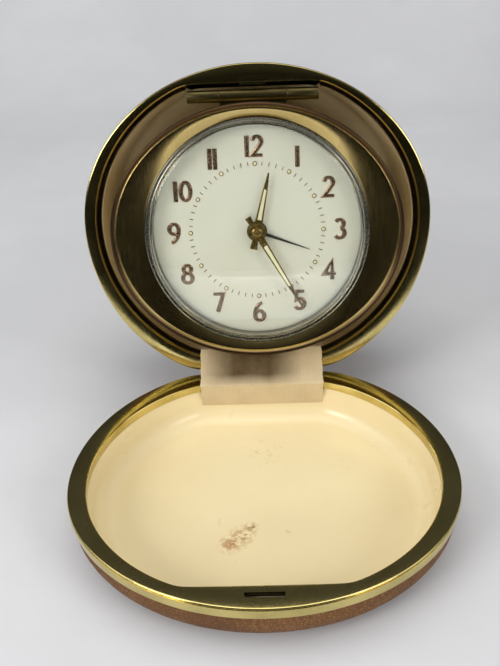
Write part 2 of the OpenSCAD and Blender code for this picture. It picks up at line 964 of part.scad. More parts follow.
module hour_hand() {
    color(BRASS)
        on_clock()
            rotate(hour_turn)
                hand(hour_len, hour_wide, hour_tail, hour_window, hour_boss, hour_pipe_r, hour_off,
                    hour_off + hand_t);
}

module hour_hand_lume() {
    color(LUME)
        on_clock()
            rotate(hour_turn)
                slab(hour_window, hour_off + running, hour_off + hand_t);
}

minute_aim = mesh_aim(minute_teeth, cannon_leaves, minute_dir, minute_dir);

module hour_wheel() {
    color(BRASS)
        on_clock()
            difference() {
                union() {
                    gear(hour_teeth, hour_mod, mesh_aim(hour_teeth, minute_leaves, minute_dir + 180,
                        minute_dir + 180), hour_wheel_off, hour_wheel_off + wheel_t);
                    bar(hour_pipe_r, hour_wheel_off, hour_off + hand_t);
                }
                bar(minute_pipe_r + running, -5, 5);
            }
}

// Wheel and pinion that turn on the front plate's stud
module minute_wheel() {
    color(BRASS)
        on_clock(minute_at)
            difference() {
                union() {
                    gear(minute_teeth, minute_mod, minute_aim, -1.9, -1.5);
                    gear(minute_leaves, hour_mod, minute_dir + 180, -1.6, -0.5);
                }
                bar(centre_r + running, -5, 5);
            }
}

module set_arbor() {
    color(STEEL)
        on_clock(set_at) {
            bar(centre_r, set_arbor_back, -1.5);
            gear(set_teeth, minute_mod, mesh_aim(set_teeth, minute_teeth, minute_aim, set_dir), -2.05, -1.4);
        }
}

// Knurled knob on the end of a setting arbor
module setting_knob() {
    ribs = 36;
    knob_r = 3.135;
    difference() {
        slab(teeth(ribs, 2 * knob_r / ribs, 0), knob_back, key_off);
        bar(centre_r, set_arbor_back, 0);
    }
}

module set_knob() {
    color(BRASS)
        on_clock(set_at)
            setting_knob();
}

module alarm_hand() {
    color([0.1, 0.1, 0.1])
        on_clock()
            rotate(alarm_turn)
                difference() {
                    union() {
                        slab([[-0.5, 0], [-0.1, alarm_len], [0.1, alarm_len], [0.5, 0]], alarm_off,
                            alarm_off + alarm_t);
                        bar(alarm_boss, alarm_off, alarm_off + alarm_t);
                    }
                    bar(alarm_pipe_r, alarm_off - 1, alarm_off + 1);
                }
}

module alarm_wheel() {
    color(BRASS)
        on_clock()
            difference() {
                union() {
                    gear(alarm_disc_teeth, alarm_disc_mod, alarm_set_dir, alarm_disc_off,
                        alarm_disc_off + wheel_t);
                    bar(alarm_pipe_r, alarm_disc_off, alarm_off + alarm_t);
                }
                bar(hour_pipe_r + running, -5, 5);
            }
}

module alarm_set_arbor() {
    color(STEEL)
        on_clock(alarm_set_at) {
            bar(centre_r, set_arbor_back, 0);
            gear(alarm_pinion_teeth, alarm_disc_mod,
                mesh_aim(alarm_pinion_teeth, alarm_disc_teeth, alarm_set_dir, alarm_set_dir), -0.3, 0.3);
        }
}

module alarm_set_knob() {
    color(BRASS)
        on_clock(alarm_set_at)
            setting_knob();
}

// ---------------------------------------------------------------- going train

module centre_wheel() {
    color(BRASS)
        on_clock() {
            bar(centre_r, arbor_back, crystal_low);
            difference() {
                gear(centre_teeth, third_mod, third_dir, centre_wheel_off, centre_wheel_off + wheel_t);
                windows(2, 7.6, centre_wheel_off - 1, centre_wheel_off + 1);
            }
            gear(centre_leaves, great_mod, time_dir, great_off - leaf_back, great_off + great_leaf_front);
        }
}

module third_wheel() {
    color(BRASS)
        on_clock(third_at) {
            bar(arbor_r, arbor_back, arbor_front);
            gear(third_leaves, third_mod, mesh_aim(third_leaves, centre_teeth, third_dir, third_dir),
                centre_wheel_off - leaf_back, centre_wheel_off + leaf_front);
            difference() {
                gear(third_teeth, fourth_mod, fourth_dir, third_wheel_off, third_wheel_off + wheel_t);
                windows(1.6, 5.8, third_wheel_off - 1, third_wheel_off + 1);
            }
        }
}

module fourth_wheel() {
    color(BRASS)
        on_clock(fourth_at) {
            bar(arbor_r, arbor_back, arbor_front);
            gear(fourth_leaves, fourth_mod, mesh_aim(fourth_leaves, third_teeth, fourth_dir, fourth_dir),
                third_wheel_off - leaf_back, third_wheel_off + leaf_front);
            difference() {
                gear(fourth_teeth, escape_mod, escape_dir, fourth_wheel_off, fourth_wheel_off + wheel_t);
                windows(1.4, 5, fourth_wheel_off - 1, fourth_wheel_off + 1);
            }
        }
}

// Wheel of hooked teeth for a pin-pallet lever
function ratchet(n, r, deep) = [
    for (i = [0 : n - 1])
        let (c = 360 * i / n, p = 360 / n)
        each [r * [cos(c), sin(c)], (r - deep) * [cos(c + 0.12 * p), sin(c + 0.12 * p)],
            (r - deep) * [cos(c + 0.6 * p), sin(c + 0.6 * p)]]
];

module escape_wheel() {
    color(BRASS)
        on_clock(escape_at) {
            bar(arbor_r, arbor_back, arbor_front);
            gear(escape_leaves, escape_mod, mesh_aim(escape_leaves, fourth_teeth, escape_dir, escape_dir),
                fourth_wheel_off - leaf_back, fourth_wheel_off + leaf_front);
            slab(ratchet(15, 3.1, 0.7), escape_off, escape_off + wheel_t);
        }
}

// Lever with two pins that straddle a wheel at a distance gap, and an arm or fork behind
module pallet_lever() {
    color(STEEL)
        on_clock(lever_at) {
            bar(arbor_r, arbor_back, arbor_front);
            rotate(lever_dir) {
                slab([[-0.7, 0], [-2.5, 2.5], [-2.7, 3.2], [-2, 3.2], [0, 0.8], [3.4, 0.35], [3.6, 0.8],
                    [4.2, 0.8], [4.2, 0.45], [3.9, 0], [4.2, -0.45], [4.2, -0.8], [3.6, -0.8], [3.4, -0.35],
                    [0, -0.8], [-2, -3.2], [-2.7, -3.2], [-2.5, -2.5]], escape_off - 0.6, escape_off - 0.2);
                for (s = [-1, 1])
                    translate([-2.29, 2.9 * s, 0])
                        bar(0.2, escape_off - 0.6, escape_off + 0.6);
            }
        }
}

// Balance: rim with two arms, staff, and a roller whose pin stops just short of the fork
module balance_wheel() {
    wheel_off = -4.4;
    rim_r = 4.6;
    roller_off = -7.4;
    color(BRASS)
        on_clock(balance_at) {
            difference() {
                bar(rim_r, wheel_off, wheel_off + 0.8);
                bar(rim_r - 0.7, wheel_off - 1, wheel_off + 2);
            }
            translate([-4.2, -0.4, wheel_off + 0.2])
                cube([8.4, 0.8, 0.4]);
            bar(arbor_r, arbor_back, arbor_front);
            bar(1.5, roller_off, roller_off + 0.4);
            rotate(lever_dir + 180)
                translate([1.2, 0, 0])
                    bar(0.2, roller_off - 0.85, roller_off + 0.4);
        }
}

// Great wheel, free on its arbor
module time_great_wheel() {
    color(BRASS)
        on_clock(time_at)
            difference() {
                gear(time_teeth, great_mod, mesh_aim(time_teeth, centre_leaves, time_dir, time_dir),
                    great_off, great_off + great_t);
                bar(barrel_arbor_r + running, arbor_end, 0);
            }
}

// Winding key and its arbor, with the ratchet wheel that the click would hold
module winding_key() {
    bow_half = 5.3;
    bow_r = 2;
    bow_t = 1;
    bow_off = -22.3;
    bar(barrel_arbor_r, arbor_end, arbor_front);
    bar(2.1, -21, key_off);
    slab(ratchet(20, 4, 0.6), great_off + great_t + running, great_off + great_t + 0.35);
    translate([-bow_half, -bow_t / 2, bow_off - bow_r])
        cube([2 * bow_half, bow_t, 2 * bow_r]);
    for (s = [-1, 1])
        translate([bow_half * s, bow_t / 2, bow_off])
            rotate([90, 0, 0])
                cylinder(r = bow_r, h = bow_t);
}

module time_key() {
    color(BRASS)
        on_clock(time_at)
            rotate(60)
                winding_key();
}

module alarm_great_wheel() {
    color(BRASS)
        on_clock(alarm_at)
            difference() {
                gear(alarm_teeth, great_mod, strike_dir, great_off, great_off + great_t);
                bar(barrel_arbor_r + running, arbor_end, 0);
            }
}

module alarm_key() {
    color(BRASS)
        on_clock(alarm_at)
            rotate(120)
                winding_key();
}

// Alarm escape wheel that shakes the hammer
module strike_wheel() {
    color(BRASS)
        on_clock(strike_at) {
            bar(arbor_r, arbor_back, arbor_front);
            gear(strike_leaves, great_mod, mesh_aim(strike_leaves, alarm_teeth, strike_dir, strike_dir),
                great_off - leaf_back, great_off + great_leaf_front);
            slab(ratchet(12, 3.6, 1), centre_wheel_off, centre_wheel_off + wheel_t);
        }
}

module alarm_hammer() {
    color(STEEL)
        on_clock(hammer_at) {
            bar(arbor_r, arbor_back, arbor_front);
            rotate(hammer_dir) {
                slab([[0.8, 0], [-0.6, 0.8], [-3, 4.1], [-3.8, 4.1], [-3.6, 3.3], [-1, 0], [-3.6, -3.3],
                    [-3.8, -4.1], [-3, -4.1], [-0.6, -0.8]], -3.9, -3.6);
                for (s = [-1, 1])
                    translate([-3.4, 3.75 * s, 0])
                        bar(0.3, -4.7, -3.6);
            }
            rotate(222) {
                translate([0, -0.4, -9])
                    cube([10.5, 0.8, 0.8]);
                bar(0.8, -9.2, -8);
                translate([10.5, 0, 0])
                    bar(1.5, -11, -6);
            }
        }
}

// Push button that holds the hammer still
module alarm_stop_button() {
    color(STEEL)
        on_clock(stop_at) {
            bar(stop_r, arbor_end, -11);
            bar(2, -20.6, key_off);
        }
}

// Index lever behind the balance, with a tab that reaches out through the back cover
module regulator_lever() {
    color(BRASS)
        on_clock(balance_at)
            rotate(regulator_turn)
                difference() {
                    union() {
                        bar(1.6, -14.7, -14.1);
                        translate([0, -0.5, -14.7])
                            cube([tab_at + 0.6, 1, 0.6]);
                        translate([tab_at, -0.5, -19.4])
                            cube([0.6, 1, 5]);
                    }
                    bar(arbor_r + 0.2, arbor_end, 0);
                }
}

lid_rim();
lid_shell();
lid_cover();
lid_liner();
lid_hinge_leaf();
latch_catch();
case_rim();
case_shell();
case_cover();
case_liner();
case_hinge_leaf();
case_hinge_pin();
latch_tongue();
hinge_strap();
clock_hinge_leaf();
clock_hinge_pin();
clock_swing_leaf();
bezel();
crystal();
crystal_ring();
dial_ring();
dial();
dial_numerals();
dial_markers();
clock_can();
back_cover();
front_plate();
back_plate();
plate_pillars();
plate_screws();
mainsprings();
hairspring();
minute_hand();
minute_hand_lume();
hand_nut();
cannon_pinion();
hour_hand();
hour_hand_lume();
hour_wheel();
minute_wheel();
set_arbor();
set_knob();
alarm_hand();
alarm_wheel();
alarm_set_arbor();
alarm_set_knob();
centre_wheel();
third_wheel();
fourth_wheel();
escape_wheel();
pallet_lever();
balance_wheel();
time_great_wheel();
time_key();
alarm_great_wheel();
alarm_key();
strike_wheel();
alarm_hammer();
alarm_stop_button();
regulator_lever();
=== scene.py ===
"""Looks of the folding travel alarm clock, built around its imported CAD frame.

Shapes are worked out in millimetres in the frame of the half they belong to, (x, v, off): x to the
right, v away from the case hinge and off outward from the rim. clock() measures v from the hands'
centre instead. finish_mesh() turns them into metres in the row frame.
"""

import json
import math

import bmesh
import bpy
import numpy as np
from mathutils import Matrix, Vector

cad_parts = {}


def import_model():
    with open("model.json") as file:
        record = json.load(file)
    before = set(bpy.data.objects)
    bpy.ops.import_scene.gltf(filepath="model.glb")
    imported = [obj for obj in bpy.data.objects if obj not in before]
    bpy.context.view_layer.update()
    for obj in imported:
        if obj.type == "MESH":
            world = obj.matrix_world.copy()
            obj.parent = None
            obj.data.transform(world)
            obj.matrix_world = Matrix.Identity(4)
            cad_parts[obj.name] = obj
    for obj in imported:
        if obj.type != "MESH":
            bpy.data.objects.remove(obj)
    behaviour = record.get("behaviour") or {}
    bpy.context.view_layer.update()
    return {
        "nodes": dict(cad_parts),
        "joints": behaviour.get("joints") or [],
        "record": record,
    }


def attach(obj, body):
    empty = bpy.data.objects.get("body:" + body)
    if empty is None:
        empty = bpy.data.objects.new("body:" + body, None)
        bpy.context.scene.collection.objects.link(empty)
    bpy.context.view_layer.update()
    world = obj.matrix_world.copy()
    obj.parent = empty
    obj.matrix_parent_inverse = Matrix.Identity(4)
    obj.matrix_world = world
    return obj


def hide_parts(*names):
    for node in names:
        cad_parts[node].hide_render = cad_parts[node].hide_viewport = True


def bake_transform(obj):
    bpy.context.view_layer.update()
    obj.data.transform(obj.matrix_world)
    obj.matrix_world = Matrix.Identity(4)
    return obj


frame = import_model()

# ------------------------------------------------------------------ the frame's own measures

MM = 0.001
joints = {joint["name"]: joint for joint in frame["joints"]}
HINGE = np.array(joints["case_hinge"]["pos_m"]) / MM
HUB = np.array(joints["minute_spin"]["pos_m"]) / MM
RIGHT = np.array([1.0, 0.0, 0.0])
OUT = np.array(joints["minute_spin"]["axis"])
UP = np.cross(OUT, RIGHT)
CLOCK_AXIS = np.array(joints["clock_swing"]["pos_m"]) / MM


def reach(node, direction, origin):
    """Least and greatest distance of a CAD node from origin along direction."""
    points = np.array([v.co for v in frame["nodes"][node].data.vertices]) / MM
    along = (points - origin) @ direction
    return along.min(), along.max()


CASE_W = 2 * reach("lid_rim", RIGHT, HINGE)[1]
CASE_H = 2 * HINGE[1]
LID_D = HINGE[2]
REAR_D = -reach("case_cover", OUT, HINGE)[0]
BEZEL_X = reach("bezel", RIGHT, HUB)[1]
BEZEL_V = reach("bezel", UP, HUB)[1]
BEZEL_OFF = reach("bezel", OUT, HUB)[1]
CRYSTAL_R = reach("crystal", RIGHT, HUB)[1]
CRYSTAL_TOP = reach("crystal", OUT, HUB)[1]
RING_R = reach("crystal_ring", RIGHT, HUB)[1]
DIAL_R = reach("dial", RIGHT, HUB)[1]
DIAL_OFF = reach("dial", OUT, HUB)[1]
STRAP_HALF = reach("hinge_strap", RIGHT, HINGE)[1]
HINGE_V = (CLOCK_AXIS - HINGE) @ UP
HINGE_OFF = (CLOCK_AXIS - HINGE) @ OUT
HINGE_HALF = reach("clock_hinge_pin", RIGHT, HINGE)[1]
SWING_HALF = reach("clock_swing_leaf", RIGHT, HINGE)[1]


def placed(points, origin, up, out):
    points = np.asarray(points, float).reshape(-1, 3)
    return origin + points[:, 0:1] * RIGHT + points[:, 1:2] * up + points[:, 2:3] * out


def lid(points):
    return placed(points, HINGE, np.array([0.0, -1.0, 0.0]), np.array([0.0, 0.0, 1.0]))


def rear(points):
    return placed(points, HINGE, UP, OUT)


def clock(points):
    return placed(points, HUB, UP, OUT)


# ------------------------------------------------------------------ the case outline

SEGMENTS = 288
MID_V = 39.0  # the outline's widest line
UP_RISE = CASE_H - MID_V
LOW_RISE = 42.5
INNER_W = CASE_W / 2 - 4.2
INNER_UP = UP_RISE - 2.5
INNER_LOW = LOW_RISE - 5.7
INNER_LO = 5.5  # the opening's flat ends
INNER_HI = CASE_H - 5.7
SLACK = 0.4  # the liner's opening is this much longer each way


def soft_max(a, b, k):
    return (a + b + np.sqrt((a - b) ** 2 + k * k)) / 2


def oval(width, up, low, start, end, soft, inset):
    """Ring of (x, v) on two half ellipses, cut flat at v = start and v = end."""
    t = 2 * math.pi * np.arange(SEGMENTS) / SEGMENTS
    v = MID_V + (np.where(np.sin(t) >= 0, up, low) - inset) * np.sin(t)
    v = -soft_max(-soft_max(v, start + inset, soft), inset - end, soft)
    return np.stack([(width - inset) * np.cos(t), v], 1)


def outer(inset):
    return oval(CASE_W / 2, UP_RISE, LOW_RISE, 0.0, 3 * CASE_H, 1.5, inset)


def inner(inset):
    return oval(INNER_W, INNER_UP, INNER_LOW, INNER_LO, INNER_HI, 0.6, inset)


def liner(inset):
    start, end = INNER_LO - 0.6, INNER_HI + 0.6
    return oval(INNER_W, INNER_UP + SLACK, INNER_LOW + SLACK, start, end, 0.6, inset)


def ellipse(half_x, half_v):
    t = 2 * math.pi * np.arange(SEGMENTS) / SEGMENTS
    return np.stack([half_x * np.cos(t), half_v * np.sin(t)], 1)


def lifted(ring, off):
    return np.column_stack([ring, np.full(len(ring), off)])


# ------------------------------------------------------------------ mesh building


SHARP = 35


def added(name, data):
    obj = bpy.data.objects.new(name, data)
    bpy.context.scene.collection.objects.link(obj)
    return obj


def solid_mesh(name, points, faces):
    """Mesh from row-frame millimetres, its faces turned outward."""
    mesh = bpy.data.meshes.new(name)
    mesh.from_pydata([tuple(p) for p in np.asarray(points) * MM], [], faces)
    shell = bmesh.new()
    shell.from_mesh(mesh)
    bmesh.ops.recalc_face_normals(shell, faces=shell.faces)
    shell.to_mesh(mesh)
    shell.free()
    return mesh


def evaluated(obj):
    """Mesh of an object once its modifiers or curve settings are applied."""
    bpy.context.view_layer.update()
    return bpy.data.meshes.new_from_object(obj.evaluated_get(bpy.context.evaluated_depsgraph_get()))


def finish_mesh(name, points, faces, body, slot, replaces=(), sharp=SHARP):
    """New object from row-frame millimetres, shaded smooth but for edges over sharp degrees."""
    mesh = solid_mesh(name, points, faces)
    obj = added(name, mesh)
    shade(mesh, sharp)
    mesh.materials.append(MATERIALS[slot])
    if body:
        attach(obj, body)
    if replaces:
        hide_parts(*replaces)
    return obj


def shade(mesh, sharp):
    mesh.shade_smooth()
    mesh.set_sharp_from_angle(angle=math.radians(sharp))


def band_faces(rings, count, closed):
    """Quads between each of a stack of rings of count points and the next."""
    faces = []
    for j in range(rings if closed else rings - 1):
        a, b = j * count, (j + 1) % rings * count
        faces += [(a + i, b + i, b + (i + 1) % count, a + (i + 1) % count) for i in range(count)]
    return faces


def skin(rings, closed=False):
    """Points and faces of a stack of rings, capped at both ends unless it closes on itself."""
    count = len(rings[0])
    faces = band_faces(len(rings), count, closed)
    if not closed:
        last = (len(rings) - 1) * count
        faces += [tuple(range(count)), tuple(range(last + count - 1, last - 1, -1))]
    return np.concatenate(rings), faces


def lathe(profile, sides=144):
    """Points and faces of a closed (radius, off) profile turned about the clock's axis."""
    unit = ellipse(1, 1)[:: SEGMENTS // sides]
    rings = [lifted(radius * unit, off) for radius, off in profile]
    return skin(rings, closed=True)


def merged(parts):
    """One list of points and faces from several."""
    points, faces, start = [], [], 0
    for part_points, part_faces in parts:
        points.append(np.asarray(part_points))
        faces += [tuple(start + i for i in face) for face in part_faces]
        start += len(part_points)
    return np.concatenate(points), faces


def box_solid(low, high):
    """Points and faces of a box, as a tool to cut with or a thin bar."""
    (x0, y0, z0), (x1, y1, z1) = low, high
    points = [(x, y, z) for z in (z0, z1) for x, y in ((x0, y0), (x1, y0), (x1, y1), (x0, y1))]
    sides = [(i, (i + 1) % 4, 4 + (i + 1) % 4, 4 + i) for i in range(4)]
    return np.array(points), [(3, 2, 1, 0), (4, 5, 6, 7), *sides]


def cut(obj, points, faces):
    """Takes a closed tool, in row-frame millimetres, out of obj."""
    tool = added("tool", solid_mesh("tool", points, faces))
    modifier = obj.modifiers.new("cut", "BOOLEAN")
    modifier.object = tool
    modifier.solver = "EXACT"
    result = evaluated(obj)
    obj.modifiers.clear()
    obj.data = result
    shade(result, SHARP)
    bpy.data.objects.remove(tool)


def plate(outlines, low, high, edge):
    """Points and faces of a flat plate with rounded edges; the outlines after the first are holes."""
    curve = bpy.data.curves.new("plate", "CURVE")
    curve.dimensions = "2D"
    curve.fill_mode = "BOTH"
    for outline in outlines:
        spline = curve.splines.new("POLY")
        spline.points.add(len(outline) - 1)
        for point, (x, y) in zip(spline.points, outline):
            point.co = (x, y, 0, 1)
        spline.use_cyclic_u = True
    curve.extrude = (high - low) / 2 - edge
    curve.bevel_depth = edge
    curve.bevel_resolution = 2
    curve.offset = -edge
    obj = added("plate", curve)
    mesh = evaluated(obj)
    shell = bmesh.new()
    shell.from_mesh(mesh)
    bmesh.ops.remove_doubles(shell, verts=shell.verts, dist=1e-4)
    points = np.array([v.co for v in shell.verts]) + [0, 0, (low + high) / 2]
    faces = [tuple(v.index for v in face.verts) for face in shell.faces]
    shell.free()
    bpy.data.objects.remove(obj)
    bpy.data.curves.remove(curve)
    bpy.data.meshes.remove(mesh)
    return points, faces


def turned(points, degrees):
    """(x, y) points turned clockwise, as a clock's hand turns."""
    a = -math.radians(degrees)
    x, y = np.asarray(points, float).T
    return np.stack([x * math.cos(a) - y * math.sin(a), x * math.sin(a) + y * math.cos(a)], 1)


def circle(radius, count):
    t = 2 * math.pi * np.arange(count) / count
    return radius * np.stack([np.cos(t), np.sin(t)], 1)


def grid_quads(rows, columns):
    """Quads between the points of a grid stored row by row."""
    corners = [i * columns + j for i in range(rows - 1) for j in range(columns - 1)]
    return [(a, a + 1, a + columns + 1, a + columns) for a in corners]


def sweep(path, across, height, low):
    """Points and faces of a raised pen stroke along (x, y) points, thinner where it runs level."""
    path = np.asarray(path, float)
    left = [(-0.5, 0.0), (-0.5, 0.45), (-0.38, 0.85), (-0.22, 1.0)]
    section = np.array(left + [(-u, h) for u, h in left[::-1]])
    step = np.diff(path, axis=0)
    step /= np.linalg.norm(step, axis=1)[:, None]
    before, after = np.vstack([step[:1], step]), np.vstack([step, step[-1:]])
    tangent = before + after
    tangent /= np.linalg.norm(tangent, axis=1)[:, None]
    side = np.column_stack([-tangent[:, 1], tangent[:, 0]])
    spread = (0.72 + 0.28 * np.abs(tangent[:, 1])) / np.maximum(0.5, (tangent * after).sum(1))
    rings = [
        np.column_stack([p + s * w * across * section[:, :1], low + height * section[:, 1]])
        for p, s, w in zip(path, side, spread)
    ]
    return skin(rings)


def arc(cx, cy, rx, ry, start, end, count=24):
    t = np.radians(np.linspace(start, end, count + 1))
    return np.stack([cx + rx * np.cos(t), cy + ry * np.sin(t)], 1)


# ------------------------------------------------------------------ materials


RANGE = ("From Min", "From Max", "To Min", "To Max")


class Surface:
    """A Principled material built from a few node helpers; coordinates are in metres at rest."""

    def __init__(self, name, colour, metallic=0.0, roughness=0.5, **sockets):
        self.material = bpy.data.materials.new(name)
        self.material.use_nodes = True
        self.nodes = self.material.node_tree.nodes
        self.links = self.material.node_tree.links
        self.shader = self.nodes["Principled BSDF"]
        self.place = self.nodes.new("ShaderNodeTexCoord").outputs["Object"]
        self.set("Base Color", (*colour, 1))
        self.set("Metallic", metallic)
        self.set("Roughness", roughness)
        for socket, value in sockets.items():
            self.set(socket.replace("_", " "), value)

    def set(self, socket, value):
        self.shader.inputs[socket].default_value = value

    def link(self, output, socket):
        self.links.new(output, self.shader.inputs[socket])

    def stretched(self, scale):
        node = self.nodes.new("ShaderNodeMapping")
        node.inputs["Scale"].default_value = scale
        self.links.new(self.place, node.inputs["Vector"])
        return node.outputs["Vector"]

    def noise(self, scale, detail=3.0, rough=0.5, place=None):
        node = self.nodes.new("ShaderNodeTexNoise")
        node.inputs["Scale"].default_value = scale
        node.inputs["Detail"].default_value = detail
        node.inputs["Roughness"].default_value = rough
        self.links.new(place or self.place, node.inputs["Vector"])
        return node.outputs["Fac"]

    def cells(self, scale, place):
        """Distance to the nearest edge between irregular cells."""
        node = self.nodes.new("ShaderNodeTexVoronoi")
        node.feature = "DISTANCE_TO_EDGE"
        node.inputs["Scale"].default_value = scale
        self.links.new(place, node.inputs["Vector"])
        return node.outputs["Distance"]

    def mapped(self, value, low, high, to_low=0.0, to_high=1.0):
        node = self.nodes.new("ShaderNodeMapRange")
        for socket, number in zip(RANGE, (low, high, to_low, to_high)):
            node.inputs[socket].default_value = number
        self.links.new(value, node.inputs["Value"])
        return node.outputs["Result"]

    def math(self, operation, a, b):
        node = self.nodes.new("ShaderNodeMath")
        node.operation = operation
        for socket, value in zip(node.inputs, (a, b)):
            if isinstance(value, (int, float)):
                socket.default_value = value
            else:
                self.links.new(value, socket)
        return node.outputs[0]

    def mix(self, share, a, b):
        """Colour a shading into colour b by share, any of them an output or a constant."""
        node = self.nodes.new("ShaderNodeMix")
        node.data_type = "RGBA"
        sockets = node.inputs["Factor"], node.inputs[6], node.inputs[7]
        for socket, value in zip(sockets, (share, a, b)):
            if isinstance(value, tuple):
                socket.default_value = (*value, 1)
            elif isinstance(value, (int, float)):
                socket.default_value = value
            else:
                self.links.new(value, socket)
        return node.outputs[2]

    def near(self, point, radius):
        """1 at a point in the row frame, in millimetres, falling to 0 at radius."""
        node = self.nodes.new("ShaderNodeVectorMath")
        node.operation = "DISTANCE"
        node.inputs[1].default_value = tuple(np.asarray(point) * MM)
        self.links.new(self.place, node.inputs[0])
        return self.mapped(node.outputs["Value"], 0, radius * MM, 1, 0)

    def along(self, direction, origin=(0, 0, 0), unit=1.0):
        """Distance from a row-frame point along a direction, counted in units of millimetres."""
        moved = self.nodes.new("ShaderNodeVectorMath")
        moved.operation = "SUBTRACT"
        moved.inputs[1].default_value = tuple(np.asarray(origin) * MM)
        self.links.new(self.place, moved.inputs[0])
        dot = self.nodes.new("ShaderNodeVectorMath")
        dot.operation = "DOT_PRODUCT"
        dot.inputs[1].default_value = tuple(np.asarray(direction) / (unit * MM))
        self.links.new(moved.outputs["Vector"], dot.inputs[0])
        return dot.outputs["Value"]

    def radial(self, middle, half_x, half_v):
        """Square of the distance from a middle, 1 on the ellipse with the given half axes."""
        x, v = self.along(RIGHT, middle, half_x), self.along(UP, middle, half_v)
        return self.math("ADD", self.math("MULTIPLY", x, x), self.math("MULTIPLY", v, v))

    def bump(self, height, depth):
        """Bump of a height from 0 to 1 that stands for depth millimetres."""
        node = self.nodes.new("ShaderNodeBump")
        node.inputs["Distance"].default_value = depth * MM
        node.inputs["Strength"].default_value = 1.0
        self.links.new(height, node.inputs["Height"])
        self.link(node.outputs["Normal"], "Normal")


LEDGE_SHADE_DEPTHS = (-0.3, -0.12)  # painted shade full at the first depth, none at the second
# brown of the painted shade on the rear rim's sunken ledge
LEDGE_SHADE = (0.2, 0.13, 0.055)


def brass(name, light, dark, roughness, grain=(2500, 2500, 2500), ledge=False):
    """Metal with cloudy tarnish, specks and fine scratches whose grain runs along its low scale.

    With ledge, the sunken ledge inside the rear rim is browned with painted shade.
    """
    made = Surface(name, light, metallic=1.0)
    cloud = made.noise(90, 6, 0.62)
    specks = made.mapped(made.noise(1900, 2), 0.66, 0.74)
    scratch = made.noise(1, 3, 0.6, made.stretched(grain))
    tarnished = made.mix(made.mapped(cloud, 1 / 3, 0.75), light, dark)
    spotted = made.mix(made.math("MULTIPLY", specks, 0.35), tarnished, tuple(0.35 * c for c in dark))
    if ledge:
        outward = made.radial(HINGE + MID_V * UP, INNER_W + 1.3, INNER_LOW + 0.3)
        sunk = made.mapped(made.along(OUT, HINGE), *LEDGE_SHADE_DEPTHS, 1, 0)
        ledge_shade_mask = made.math("MULTIPLY", made.mapped(outward, 1.0, 1.01, 1, 0), sunk)
        spotted = made.mix(ledge_shade_mask, spotted, LEDGE_SHADE)
    made.link(spotted, "Base Color")
    dull = made.mapped(cloud, 0.3, 0.75, roughness * 0.75, roughness * 1.5)
    made.link(made.math("ADD", dull, made.mapped(scratch, 0.45, 0.8, 0, 0.12)), "Roughness")
    made.bump(made.math("ADD", scratch, made.math("MULTIPLY", cloud, 0.6)), 0.006)
    return made.material


def bezel_metal(name):
    """Brushed brass that turns brown on the rolled edge."""
    made = Surface(name, (0.5, 0.4, 0.17), metallic=1.0)
    cloud = made.noise(90, 5, 0.6)
    grain = made.noise(1, 4, 0.65, made.stretched((5200, 420, 420)))
    light = made.mix(made.mapped(cloud, 0.35, 0.7), (0.62, 0.47, 0.19), (0.48, 0.36, 0.13))
    light = made.mix(made.mapped(grain, 0.5, 0.75, 0, 0.35), light, (0.26, 0.2, 0.08))
    edge = made.mapped(made.radial(HUB, BEZEL_X, BEZEL_V), 0.915, 0.945)
    made.link(made.mix(edge, light, (0.075, 0.043, 0.022)), "Base Color")
    brushed = made.mapped(grain, 0.4, 0.8, 0, 0.12)
    made.link(made.math("ADD", made.mapped(edge, 0, 1, 0.13, 0.3), brushed), "Roughness")
    made.bump(made.math("ADD", grain, made.math("MULTIPLY", cloud, 0.5)), 0.008)
    return made.material


def leather(name):
    """Brown hide with an irregular pebble grain, dark in its creases and paler where it is rubbed."""
    made = Surface(name, (0.3, 0.16, 0.09), roughness=0.55, Specular_IOR_Level=0.15)
    warped = made.nodes.new("ShaderNodeVectorMath")
    warped.operation = "MULTIPLY_ADD"
    colour_noise = made.nodes.new("ShaderNodeTexNoise")
    colour_noise.inputs["Scale"].default_value = 700
    made.links.new(made.place, colour_noise.inputs["Vector"])
    made.links.new(colour_noise.outputs["Color"], warped.inputs[0])
    warped.inputs[1].default_value = (0.0006, 0.0006, 0.0006)
    made.links.new(made.place, warped.inputs[2])
    pebbles = made.cells(1500, warped.outputs["Vector"])
    small = made.math("MULTIPLY", made.mapped(made.cells(3400, warped.outputs["Vector"]), 0, 0.3), 0.4)
    grain = made.math("ADD", made.mapped(pebbles, 0, 0.28), small)
    blotch = made.noise(65, 5, 0.6)
    fade = made.noise(420, 4, 0.6)
    base = made.mix(made.mapped(blotch, 0.35, 0.68), (0.165, 0.078, 0.028), (0.29, 0.142, 0.05))
    creases = made.mix(made.mapped(grain, 0, 1.1), (0.1, 0.045, 0.022), base)
    worn = made.math("MULTIPLY", made.mapped(fade, 0.56, 0.8), 0.22)
    made.link(made.mix(worn, creases, (0.5, 0.31, 0.16)), "Base Color")
    made.link(made.mapped(grain, 0, 1.3, 0.7, 0.46), "Roughness")
    made.bump(made.math("ADD", grain, made.math("MULTIPLY", fade, 0.5)), 0.09)
    return made.material


